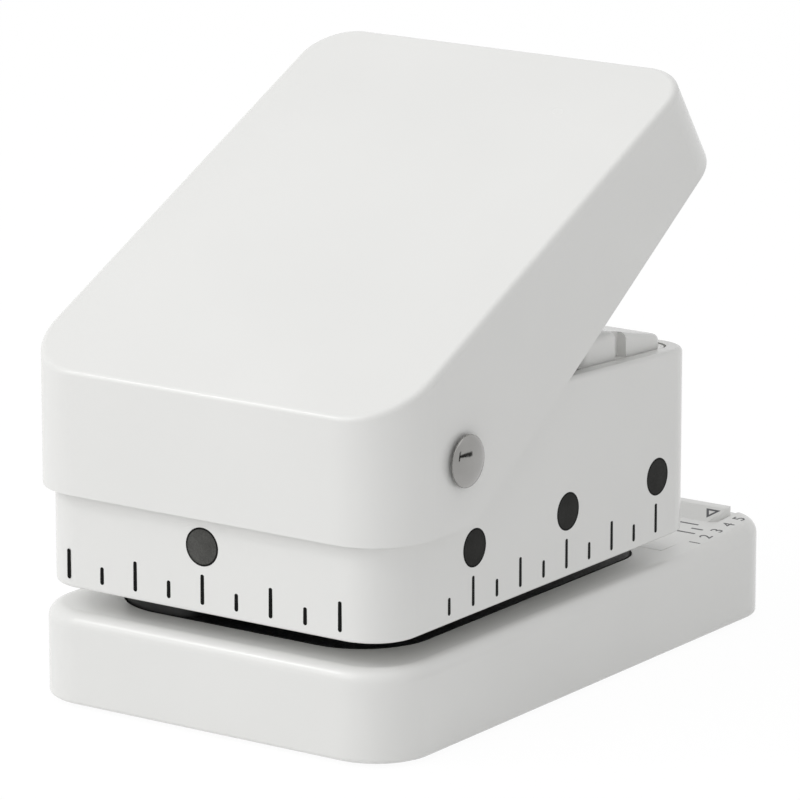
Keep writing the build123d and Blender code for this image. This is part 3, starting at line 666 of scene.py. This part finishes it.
def packed_copy(bm: bmesh.types.BMesh, node: str) -> None:
    """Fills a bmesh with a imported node's mesh, merged where its faces meet."""
    bm.from_mesh(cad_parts[node].data)
    bmesh.ops.remove_doubles(bm, verts=bm.verts[:], dist=WELD)


def join_flats(bm: bmesh.types.BMesh, limit_deg: float = 0.5) -> None:
    """Joins the triangles of each flat, so that the flats keep an even shade beside their rounded edges."""
    bmesh.ops.dissolve_limit(bm, angle_limit=math.radians(limit_deg), verts=bm.verts[:], edges=bm.edges[:])


@dataclass
class StopGuide:
    """The paper guide with a flatter plate, so that its stop block stands clear of it and reaches nearer its ends."""

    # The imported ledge: height and place of its foot, its slope, and the share of the slope that the plate keeps
    level: float = 11.2 * MM
    rise_y: float = 25.2 * MM
    rise: float = 0.0724
    keep: float = 0.35
    # The stop block: its top, where its ends began and stopped, where they stop now and how much of them is left
    block_top: float = 12.6 * MM
    end_from: float = 16.05 * MM
    end_was: float = 18.25 * MM
    end: float = 21.0 * MM
    squeeze: float = 0.55
    # The plate's outline: half its width, its corners and its front, and how far each moves out
    side: float = 21.6 * MM
    corner: float = 1.6 * MM
    front: float = 22.2 * MM
    seam_side: float = 0.17 * MM
    seam_front: float = 0.48 * MM
    # How near a point lies to a surface that it is on, and the least upward part of a top face's normal
    near: float = 0.006 * MM
    upward: float = 0.9

    def plate_z(self, y: float, share: float) -> float:
        """Gives the plate's height at a place along the punch, with a share of the border's rise."""
        return self.level + share * self.rise * (y - self.rise_y)

    def is_plate(self, face: bmesh.types.BMFace) -> bool:
        """Tells whether a face lies on the rising top of the plate.

        Args:
            face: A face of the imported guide.

        Returns:
            True for a face of the plate's top.
        """
        if face.normal.z < self.upward or face.calc_center_median().y < self.rise_y:
            return False
        return all(abs(vert.co.z - self.plate_z(vert.co.y, 1.0)) < self.near for vert in face.verts)

    def close_seam(self, vert: bmesh.types.BMVert) -> None:
        """Moves a point of the plate's outline nearer the walls of its channel.

        Args:
            vert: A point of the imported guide.
        """
        if vert.co.y < self.front + self.near:
            vert.co.y -= self.seam_front
        share = 1 - (self.side - abs(vert.co.x)) / self.corner
        vert.co.x += math.copysign(self.seam_side * min(max(share, 0.0), 1.0), vert.co.x)

    def reshape(self, vert: bmesh.types.BMVert) -> None:
        """Lowers a point of the plate's top, or stretches one of the block down to it and out to its end.

        Args:
            vert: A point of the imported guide.
        """
        was = self.plate_z(vert.co.y, 1.0)
        if vert.co.y < self.rise_y + self.near or vert.co.z < was - self.near:
            return
        if self.end_from < abs(vert.co.x) < self.end_was and vert.co.z > self.level:
            out = self.end - (self.end_was - abs(vert.co.x)) * self.squeeze
            vert.co.x = math.copysign(out, vert.co.x)
        share = (self.block_top - vert.co.z) / (self.block_top - was)
        vert.co.z = self.block_top - share * (self.block_top - self.plate_z(vert.co.y, self.keep))

    def draw(self, bm: bmesh.types.BMesh) -> None:
        """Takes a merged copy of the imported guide, reshapes its top and closes the plate again.

        Args:
            bm: The mesh that gets the guide.
        """
        packed_copy(bm, "paper_guide")
        plate = [face for face in bm.faces if self.is_plate(face)]
        bmesh.ops.delete(bm, geom=plate, context="FACES")
        for vert in bm.verts:
            self.close_seam(vert)
            self.reshape(vert)
        rim = [edge for edge in bm.edges if edge.is_boundary]
        bmesh.ops.triangle_fill(bm, edges=rim, use_beauty=True, normal=(0, 0, 1))
        bmesh.ops.recalc_face_normals(bm, faces=bm.faces[:])
        join_flats(bm)

    def build(self) -> None:
        """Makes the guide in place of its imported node."""
        guide = Piece("paper_guide_moulded", Body.GUIDE, "white_shell", [Finish.WHITE_ABS], ["paper_guide"])
        even = guide.make(self.draw).modifiers.new("even_normals", "WEIGHTED_NORMAL")
        even.keep_sharp = True


@dataclass
class ReturnSprings:
    """The two return springs, as one merged copy of their imported node."""

    # The end that stays, and the share of the length that is left when the bar is down
    foot_z: float = 16.05 * MM
    keep: float = 0.44

    @staticmethod
    def draw(bm: bmesh.types.BMesh) -> None:
        """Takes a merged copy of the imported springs."""
        packed_copy(bm, "return_springs")

    def build(self) -> None:
        """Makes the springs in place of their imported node."""
        springs = Piece("return_springs_wound", Body.FRAME, "spring_steel", [Finish.SPRING_WIRE], ["return_springs"])
        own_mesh(springs.make(self.draw))


@dataclass
class GuideMarks:
    """The lines on the paper guide, the pointer on its block and the numbers on the border beside it."""

    film: float = 0.02 * MM
    width: float = 0.34 * MM
    # Each line's place along the punch, then its two ends across it
    lines: Sequence[tuple[float, float, float]] = (
        (33.30 * MM, 17.0 * MM, 19.7 * MM),
        (31.75 * MM, 19.6 * MM, 21.3 * MM),
        (29.95 * MM, 18.6 * MM, 21.3 * MM),
    )
    guide: StopGuide = field(default_factory=StopGuide)
    # The pointer's middle on the block's front slope, and how that slope rises
    slope_y: float = 36.75 * MM
    slope_z: float = 12.167 * MM
    slope_rise: float = 0.411
    pointer_x: float = 19.3 * MM
    pointer_r: float = 1.15 * MM
    pointer_line: float = 0.3 * MM
    numbers: str = "12345"
    number_x: float = 24.1 * MM
    number_y: float = 26.6 * MM
    number_step: float = 2.5 * MM
    number_h: float = 1.6 * MM
    # Height of a figure as a share of the font's size, and the steps of its curves
    figure_share: float = 0.72
    figure_steps: int = 4

    def on_ramp(self, x: float, y: float, turned: bool, share: float) -> Matrix:
        """Gives a placing on the rising ledge.

        Args:
            x: Place across the punch.
            y: Place along the punch.
            turned: True for a drawing whose Y runs to the right, False for one that reads from the right.
            share: How much of the border's rise the surface has.

        Returns:
            The placing, with its Z out of the ledge.
        """
        along = Vector((0, 1, self.guide.rise * share)).normalized()
        spot = Vector((x, y, self.guide.plate_z(y, share)))
        if turned:
            return face_frame(spot, -along, Vector((1, 0, 0)))
        return face_frame(spot, along, Vector((-1, 0, 0)))

    def draw_lines(self, bm: bmesh.types.BMesh) -> None:
        """Draws the lines on the guide."""
        for y, x0, x1 in self.lines:
            add_bar(bm, self.on_ramp(x0, y, True, self.guide.keep), self.width, x1 - x0, self.film)

    def draw_pointer(self, bm: bmesh.types.BMesh) -> None:
        """Draws the outlined triangle on the front slope of the guide's block.

        Args:
            bm: The mesh that gets the pointer.
        """
        corners = bmesh.ops.create_circle(bm, cap_ends=True, radius=self.pointer_r, segments=3)["verts"]
        face = corners[0].link_faces[0]
        bmesh.ops.inset_region(
            bm, faces=[face], thickness=self.pointer_line, use_boundary=True, use_even_offset=True
        )
        bmesh.ops.delete(bm, geom=[face], context="FACES_ONLY")
        along = Vector((0, 1, self.slope_rise)).normalized()
        place = face_frame(Vector((self.pointer_x, self.slope_y, self.slope_z)), Vector((-1, 0, 0)), -along)
        raise_film(bm, bm.verts[:], place, self.film)

    def draw_numbers(self, bm: bmesh.types.BMesh) -> None:
        """Draws the numbers along the border.

        Args:
            bm: The mesh that gets the numbers.
        """
        for k, figure in enumerate(self.numbers):
            curve = bpy.data.curves.new("figure", "FONT")
            curve.body = figure
            curve.size = self.number_h / self.figure_share
            curve.align_x = "CENTER"
            curve.resolution_u = self.figure_steps
            holder = bpy.data.objects.new("figure", curve)
            flat = bpy.data.meshes.new_from_object(holder)
            before = set(bm.verts)
            bm.from_mesh(flat)
            drawn = [vert for vert in bm.verts if vert not in before]
            place = self.on_ramp(self.number_x, self.number_y + k * self.number_step, False, 1.0)
            raise_film(bm, drawn, place, self.film)
            bpy.data.objects.remove(holder)
            bpy.data.curves.remove(curve)
            bpy.data.meshes.remove(flat)

    def build(self) -> None:
        """Makes the lines, the pointer and the numbers."""
        Piece("guide_lines", Body.GUIDE, "black_plastic", [Finish.GREY_INK]).make(self.draw_lines)
        Piece("guide_pointer", Body.GUIDE, "black_plastic", [Finish.GREY_INK]).make(self.draw_pointer)
        Piece("border_numbers", Body.FRAME, "black_plastic", [Finish.GREY_INK]).make(self.draw_numbers)


@dataclass
class AxleDomes:
    """The polished axle with its domed head, and the matching dome on its far end."""

    # The head: its height over the seat, what its radius loses, the gap under it and the foot of its dome
    head_t: float = 1.4 * MM
    trim: float = 0.2 * MM
    gap: float = 0.34 * MM
    edge: float = 0.48 * MM
    neck_in: float = 1.0 * MM
    lip_round: float = 0.07 * MM
    shaft_r: float = 2.0 * MM
    stub_r: float = 1.3 * MM
    stub_l: float = 0.7 * MM
    bore_gap: float = 0.02 * MM
    dome_steps: int = 14
    steps: int = 64
    low: Vector = field(default_factory=lambda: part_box("axle")[0])
    high: Vector = field(default_factory=lambda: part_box("axle")[1])

    def dome(self) -> list[tuple[float, float]]:
        """Gives the half outline of a dome on a short neck, whose seat is at height 0.

        Returns:
            Radius and height of each point, from the seat's rim to the top.
        """
        head_r = (self.high[2] - self.low[2]) / 2 - self.trim
        neck_r = head_r - self.neck_in
        lip_r, lip_z = head_r - self.lip_round, self.gap + self.lip_round
        line = [(neck_r, 0.0), (neck_r, self.gap), (lip_r, self.gap), (head_r, lip_z)]
        for k in range(self.dome_steps + 1):
            turn = math.pi / 2 * k / self.dome_steps
            line.append((head_r * math.cos(turn), self.edge + (self.head_t - self.edge) * math.sin(turn)))
        line[-1] = (0.0, self.head_t)
        return line

    def turned(self, bm: bmesh.types.BMesh, line: Sequence[tuple[float, float]], seat: float, facing: float) -> None:
        """Spins an outline about the axle's line.

        Args:
            bm: The mesh that gets the shape.
            line: Radius and height of each point, starting and ending on the axis.
            seat: Place of height 0 across the punch.
            facing: 1 for heights that run to the right, -1 for the left.
        """
        spin_outline(bm, line, self.steps)
        middle = Vector((seat, (self.low[1] + self.high[1]) / 2, (self.low[2] + self.high[2]) / 2))
        bmesh.ops.transform(bm, matrix=Matrix.Translation(middle) @ lean_to((facing, 0, 0)), verts=bm.verts[:])
        bmesh.ops.recalc_face_normals(bm, faces=bm.faces[:])

    def draw_axle(self, bm: bmesh.types.BMesh) -> None:
        """Turns the shaft, its stub and the head on the right.

        Args:
            bm: The mesh that gets the axle.
        """
        seat = self.high[0] - self.head_t
        shoulder = self.low[0] + self.stub_l
        shaft = [(0.0, self.low[0]), (self.stub_r, self.low[0]), (self.stub_r, shoulder), (self.shaft_r, shoulder)]
        shaft.append((self.shaft_r, seat))
        self.turned(bm, [(r, x - seat) for r, x in shaft] + self.dome(), seat, 1.0)

    def draw_cap(self, bm: bmesh.types.BMesh) -> None:
        """Turns the cap on the left, with the bore that takes the stub.

        Args:
            bm: The mesh that gets the cap.
        """
        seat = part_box("axle_cap")[1][0]
        bore_r, depth = self.stub_r + self.bore_gap, self.stub_l + self.bore_gap
        bore = [(0.0, depth), (bore_r, depth), (bore_r, 0.0)]
        self.turned(bm, bore + self.dome(), seat, -1.0)

    def build(self) -> None:
        """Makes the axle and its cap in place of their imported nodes."""
        Piece("axle_domed", Body.FRAME, "chrome", [Finish.CHROME], ["axle"]).make(self.draw_axle)
        Piece("axle_cap_domed", Body.FRAME, "chrome", [Finish.CHROME], ["axle_cap"]).make(self.draw_cap)


@dataclass
class CrossScrews:
    """One set of equal screws with a cross recess and a rolled thread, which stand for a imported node."""

    node: str
    body: Body
    places: Sequence[tuple[float, float, float]]
    out: tuple[float, float, float]
    head_r: float
    head_t: float
    shank_r: float
    length: float
    pitch: float = 0.5 * MM
    root: float = 0.13 * MM
    # The crown: its share of the head, and the shares of radius and drop along it
    crown: float = 0.35
    crown_line: Sequence[tuple[float, float]] = ((0.66, 0.0), (0.86, 0.22), (0.96, 0.58), (1.0, 1.0))
    # Shares of the length that is threaded, and of the radius at the tip
    threaded: float = 0.82
    tip: float = 0.72
    # The cross: reach and half width as shares of the head's radius, taper, and depth as a share of the head
    arm: float = 0.56
    arm_half: float = 0.13
    taper: float = 0.72
    sink: float = 0.7
    # How far the first screw is turned, and each next one past it
    first_turn_deg: float = 17.0
    next_turn_deg: float = 41.0
    smooth_deg: float = 28.0
    steps: int = 28

    def profile(self) -> list[tuple[float, float]]:
        """Gives the half outline, from the flat of the head down to the tip.

        Returns:
            Radius and height of each point; the head's seat is at height 0.
        """
        drop = self.head_t * self.crown
        line = [(self.head_r * r, self.head_t - drop * z) for r, z in self.crown_line]
        line += [(self.head_r, 0.0), (self.shank_r, 0.0)]
        turns = int(self.length * self.threaded / self.pitch)
        for k in range(turns):
            height = -self.length + (turns - k) * self.pitch
            line += [(self.shank_r, height), (self.shank_r - self.root, height - self.pitch / 2)]
        line.append((self.shank_r * self.tip, -self.length))
        return line

    def add_recess(self, bm: bmesh.types.BMesh, rim: Sequence[bmesh.types.BMEdge]) -> None:
        """Closes the head with a cross recess.

        Args:
            bm: The mesh that holds the screw.
            rim: The open edge round the flat of the head.
        """
        arm, half = self.head_r * self.arm, self.head_r * self.arm_half
        quarter = [(arm, -half), (arm, half), (half, half)]
        cross = bmesh.ops.create_circle(bm, radius=arm, segments=4 * len(quarter))["verts"]
        ring = sorted(cross, key=lambda vert: math.atan2(vert.co.y, vert.co.x))
        for k, vert in enumerate(ring):
            turns, corner = divmod(k, len(quarter))
            flat = Matrix.Rotation(math.radians(90 * turns), 2) @ Vector(quarter[corner])
            vert.co = (flat.x, flat.y, self.head_t)
        edges = list({edge for vert in ring for edge in vert.link_edges})
        bmesh.ops.bridge_loops(bm, edges=list(rim) + edges)
        low = only_verts(bmesh.ops.extrude_edge_only(bm, edges=edges)["geom"])
        bmesh.ops.scale(bm, vec=(self.taper, self.taper, 1.0), verts=low)
        bmesh.ops.translate(bm, vec=(0, 0, -self.head_t * self.sink), verts=low)
        bottom = [edge for edge in bm.edges if all(vert in low for vert in edge.verts)]
        bmesh.ops.edgeloop_fill(bm, edges=bottom)

    def draw(self, bm: bmesh.types.BMesh) -> None:
        """Turns one screw, then sets a copy at each place.

        Args:
            bm: The mesh that gets the screws.
        """
        spin_outline(bm, self.profile(), self.steps)
        open_edges = [edge for edge in bm.edges if edge.is_boundary]
        rim = [edge for edge in open_edges if edge.verts[0].co.z > 0]
        tip = [edge for edge in open_edges if edge.verts[0].co.z < 0]
        bmesh.ops.edgeloop_fill(bm, edges=tip)
        self.add_recess(bm, rim)
        bmesh.ops.recalc_face_normals(bm, faces=bm.faces[:])
        master = bm.verts[:] + bm.edges[:] + bm.faces[:]
        for k, place in enumerate(self.places):
            copy = only_verts(bmesh.ops.duplicate(bm, geom=master)["geom"])
            turn = Matrix.Rotation(math.radians(self.first_turn_deg + self.next_turn_deg * k), 4, "Z")
            bmesh.ops.transform(bm, matrix=Matrix.Translation(place) @ lean_to(self.out) @ turn, verts=copy)
        bmesh.ops.delete(bm, geom=only_verts(master), context="VERTS")

    def build(self) -> None:
        """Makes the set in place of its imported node."""
        screws = Piece(self.node + "_set", self.body, "screw_steel", [Finish.SCREW], [self.node])
        screws.make(self.draw, self.smooth_deg)


@dataclass
class ScrewSets:
    """The sets of screws that show from outside or when the punch is opened."""

    # Radii of heads and shanks
    big: float = 1.9 * MM
    small: float = 1.7 * MM
    thick: float = 1.0 * MM
    thin: float = 0.9 * MM
    # Heights of the heads
    floor_head: float = 0.8 * MM
    cover_head: float = 0.9 * MM
    plate_head: float = 1.1 * MM
    lever_head: float = 1.1 * MM
    # The lever's screws, which lean with the handle
    lever_length: float = 4.3 * MM
    lever_out: tuple[float, float, float] = (0.0, 0.4384, -0.8988)
    lever_places: Sequence[tuple[float, float, float]] = (
        (-0.7 * MM, -10.350 * MM, 47.569 * MM),
        (-0.7 * MM, -24.731 * MM, 40.555 * MM),
    )

    @staticmethod
    def upright(node: str, head_r: float, head_t: float, shank_r: float, on_top: bool) -> CrossScrews:
        """Gives a set of four screws that stand at the corners of their node's box.

        Args:
            node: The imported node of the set.
            head_r: Radius of the heads.
            head_t: Height of the heads.
            shank_r: Radius of the shanks.
            on_top: True for heads on top, False for heads below.

        Returns:
            The set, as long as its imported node.
        """
        low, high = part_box(node)
        seat = high[2] - head_t if on_top else low[2] + head_t
        length = seat - low[2] if on_top else high[2] - seat
        across = (low[0] + head_r, high[0] - head_r)
        along = (low[1] + head_r, high[1] - head_r)
        places = [(x, y, seat) for x in across for y in along]
        out = (0.0, 0.0, 1.0 if on_top else -1.0)
        return CrossScrews(node, Body.FRAME, places, out, head_r, head_t, shank_r, length)

    def build(self) -> None:
        """Makes the four sets."""
        self.upright("floor_screws", self.big, self.floor_head, self.thick, False).build()
        self.upright("cover_screws", self.small, self.cover_head, self.thin, True).build()
        self.upright("guide_screws", self.small, self.plate_head, self.thick, True).build()
        CrossScrews(
            "lever_screws",
            Body.HANDLE,
            self.lever_places,
            self.lever_out,
            self.small,
            self.lever_head,
            self.thin,
            self.lever_length,
        ).build()


@dataclass
class PhotoCamera:
    """The camera, at the photograph's viewing angle."""

    position: tuple[float, float, float] = (0.378449, -0.541478, 0.196454)
    azimuth_deg: float = 35.015
    elevation_deg: float = 14.066
    lens: float = 261.95
    sensor: float = 36.0
    nearest: float = 0.01
    farthest: float = 10.0

    def build(self) -> None:
        """Makes the camera and hands it to the scene."""
        data = bpy.data.cameras.new("photo_camera")
        data.lens = self.lens
        data.sensor_width = self.sensor
        data.clip_start = self.nearest
        data.clip_end = self.farthest
        camera = link_object("photo_camera", data)
        turn = math.radians(self.azimuth_deg)
        lift = math.radians(self.elevation_deg)
        back = Vector((math.sin(turn) * math.cos(lift), -math.cos(turn) * math.cos(lift), math.sin(lift)))
        camera.location = self.position
        camera.rotation_euler = (-back).to_track_quat("-Z", "Y").to_euler()
        bpy.context.scene.camera = camera
        log.info("camera placed")


@dataclass
class Softbox:
    """One rectangular studio lamp."""

    name: str
    place: tuple[float, float, float]
    size: tuple[float, float]
    watts: float
    aim: tuple[float, float, float] = (0.0, 0.0, 0.03)

    def build(self) -> None:
        """Makes the lamp and turns it to its aim."""
        data = bpy.data.lights.new(self.name, "AREA")
        data.shape = "RECTANGLE"
        data.size, data.size_y = self.size
        data.energy = self.watts
        lamp = link_object(self.name, data)
        lamp.location = self.place
        lamp.rotation_euler = (Vector(self.aim) - Vector(self.place)).to_track_quat("-Z", "Y").to_euler()


@dataclass
class Flag:
    """A black card beside the punch, out of every camera's sight, for the chrome to reflect."""

    name: str
    place: tuple[float, float, float]
    facing: tuple[float, float, float]
    size: tuple[float, float]
    roll_deg: float = 0.0

    def build(self) -> None:
        """Makes the card, which casts no shadow and dims no diffuse light."""
        bm = bmesh.new()
        # A card one metre square, brought to its size
        card = bmesh.ops.create_grid(bm, x_segments=1, y_segments=1, size=0.5)["verts"]
        bmesh.ops.scale(bm, vec=(self.size[0], self.size[1], 1.0), verts=card)
        roll = Matrix.Rotation(math.radians(self.roll_deg), 4, "Z")
        bmesh.ops.transform(bm, matrix=Matrix.Translation(self.place) @ lean_to(self.facing) @ roll, verts=card)
        flag = link_mesh(self.name, bm)
        flag.visible_camera = False
        flag.visible_diffuse = False
        flag.visible_shadow = False
        flag.data.materials.append(material_of(Finish.RUBBER))


@dataclass
class Studio:
    """A white set with soft light from above and from the camera's left, and a small lamp for the glossy edges."""

    floor_half: float = 3.0
    floor_gap: float = 0.02 * MM
    floor_hex: str = "#F4F4F4"
    # The floor's own white where it is seen, the share of it, and the strength of the light all round
    floor_glow: float = 1.024
    floor_share: float = 0.93
    fill: float = 0.56
    flags: Sequence[Flag] = (
        Flag("flag_upright", (0.325, 0.017, 0.055), (-0.989, -0.148, 0.0), (0.037, 0.106)),
        Flag("flag_low", (0.2185, 0.083, 0.0234), (-0.866, -0.5, 0.0), (0.16, 0.019), 12.7),
    )
    lamps: Sequence[Softbox] = (
        Softbox("top_box", (-0.10, -0.10, 0.75), (0.9, 0.9), 1.0),
        Softbox("front_box", (-0.38, -0.68, 0.60), (0.7, 0.7), 2.5),
        Softbox("edge_box", (-0.556, -0.525, 0.68), (0.12, 0.12), 0.5),
    )

    @staticmethod
    def shown_rays(tree: bpy.types.NodeTree) -> bpy.types.NodeSocket:
        """Picks out the rays that show the set itself, from the camera, in a gloss or through a clear piece.

        Args:
            tree: The node tree that asks.

        Returns:
            A value of 1 for those rays and 0 for the rest.
        """
        rays = add_node(tree, "ShaderNodeLightPath")
        shown = rays.outputs["Is Camera Ray"]
        for kind in ("Is Glossy Ray", "Is Transmission Ray"):
            either = add_node(tree, "ShaderNodeMath", {"operation": "MAXIMUM"}, {0: shown, 1: rays.outputs[kind]})
            shown = either.outputs[0]
        return shown

    def world(self) -> None:
        """Makes a soft surrounding light that the camera sees as white."""
        world = bpy.data.worlds.new("studio_white")
        bpy.context.scene.world = world
        world.use_nodes = True
        tree = world.node_tree
        tree.nodes.clear()
        strength = add_node(
            tree, "ShaderNodeMapRange", {"To Min": self.fill, "To Max": 1.0}, {"Value": self.shown_rays(tree)}
        )
        light = add_node(
            tree, "ShaderNodeBackground", {"Color": WHITE}, {"Strength": strength.outputs["Result"]}
        )
        add_node(tree, "ShaderNodeOutputWorld", links={"Surface": light.outputs["Background"]})

    def floor(self) -> None:
        """Makes the pale floor, which keeps a soft shadow."""
        bm = bmesh.new()
        bmesh.ops.create_grid(bm, x_segments=2, y_segments=2, size=self.floor_half)
        bmesh.ops.translate(bm, verts=bm.verts[:], vec=(0, 0, -self.floor_gap))
        floor = link_mesh("floor", bm)
        material, tree = new_material("studio_floor")
        share = add_node(tree, "ShaderNodeMapRange", {"To Max": self.floor_share}, {"Value": self.shown_rays(tree)})
        matt = add_node(tree, "ShaderNodeBsdfDiffuse", {"Color": linear(self.floor_hex)})
        glow = add_node(tree, "ShaderNodeEmission", {"Color": WHITE, "Strength": self.floor_glow})
        mix = add_node(
            tree,
            "ShaderNodeMixShader",
            links={0: share.outputs["Result"], 1: matt.outputs["BSDF"], 2: glow.outputs["Emission"]},
        )
        add_node(tree, "ShaderNodeOutputMaterial", links={"Surface": mix.outputs["Shader"]})
        floor.data.materials.append(material)

    def build(self) -> None:
        """Makes the surrounding light, the floor, the cards and the lamps."""
        self.world()
        self.floor()
        for thing in (*self.flags, *self.lamps):
            thing.build()
        bpy.context.scene.view_settings.view_transform = "Standard"
        log.info("studio lit by %d lamps", len(self.lamps))


@dataclass
class CadDress:
    """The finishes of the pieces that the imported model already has."""

    finishes: dict[str, Finish] = field(default_factory=lambda: {
        "handle_shell": Finish.WHITE_ABS,
        "body_shell": Finish.WHITE_ABS,
        "base_shell": Finish.WHITE_ABS,
        "mechanism_cover": Finish.WHITE_ABS,
        "base_floor": Finish.GREY_ABS,
        "chip_door": Finish.GREY_ABS,
        "throat_spacer": Finish.BLACK_ACETAL,
        "axle_sleeves": Finish.BLACK_ACETAL,
        "die_plate": Finish.BLACK_STEEL,
        "lever": Finish.ZINC,
        "press_bar": Finish.ZINC,
        "guide_plate": Finish.ZINC,
        "press_dowel": Finish.TOOL_STEEL,
        "pressure_pad": Finish.TOOL_STEEL,
        "punch_pin_front": Finish.TOOL_STEEL,
        "punch_pin_middle": Finish.TOOL_STEEL,
        "punch_pin_rear": Finish.TOOL_STEEL,
        "pin_clips": Finish.SPRING_WIRE,
        "guide_bushes": Finish.BRASS,
        "spine_screws": Finish.SCREW,
        "rubber_feet": Finish.RUBBER,
    })

    def build(self) -> None:
        """Puts each finish on its piece."""
        for name, finish in self.finishes.items():
            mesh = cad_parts[name].data
            mesh.materials.clear()
            mesh.materials.append(material_of(finish))
            log.info("%s dressed as %s", name, finish.value.name)


def main() -> None:
    """Builds the looks in order."""
    logging.basicConfig(level=logging.INFO, format="%(name)s: %(message)s")
    PhotoCamera().build()
    Studio().build()
    CadDress().build()
    PrintedScale().build()
    StopGuide().build()
    ReturnSprings().build()
    GuideMarks().build()
    AxleDomes().build()
    ScrewSets().build()


if __name__ == "__main__":
    main()
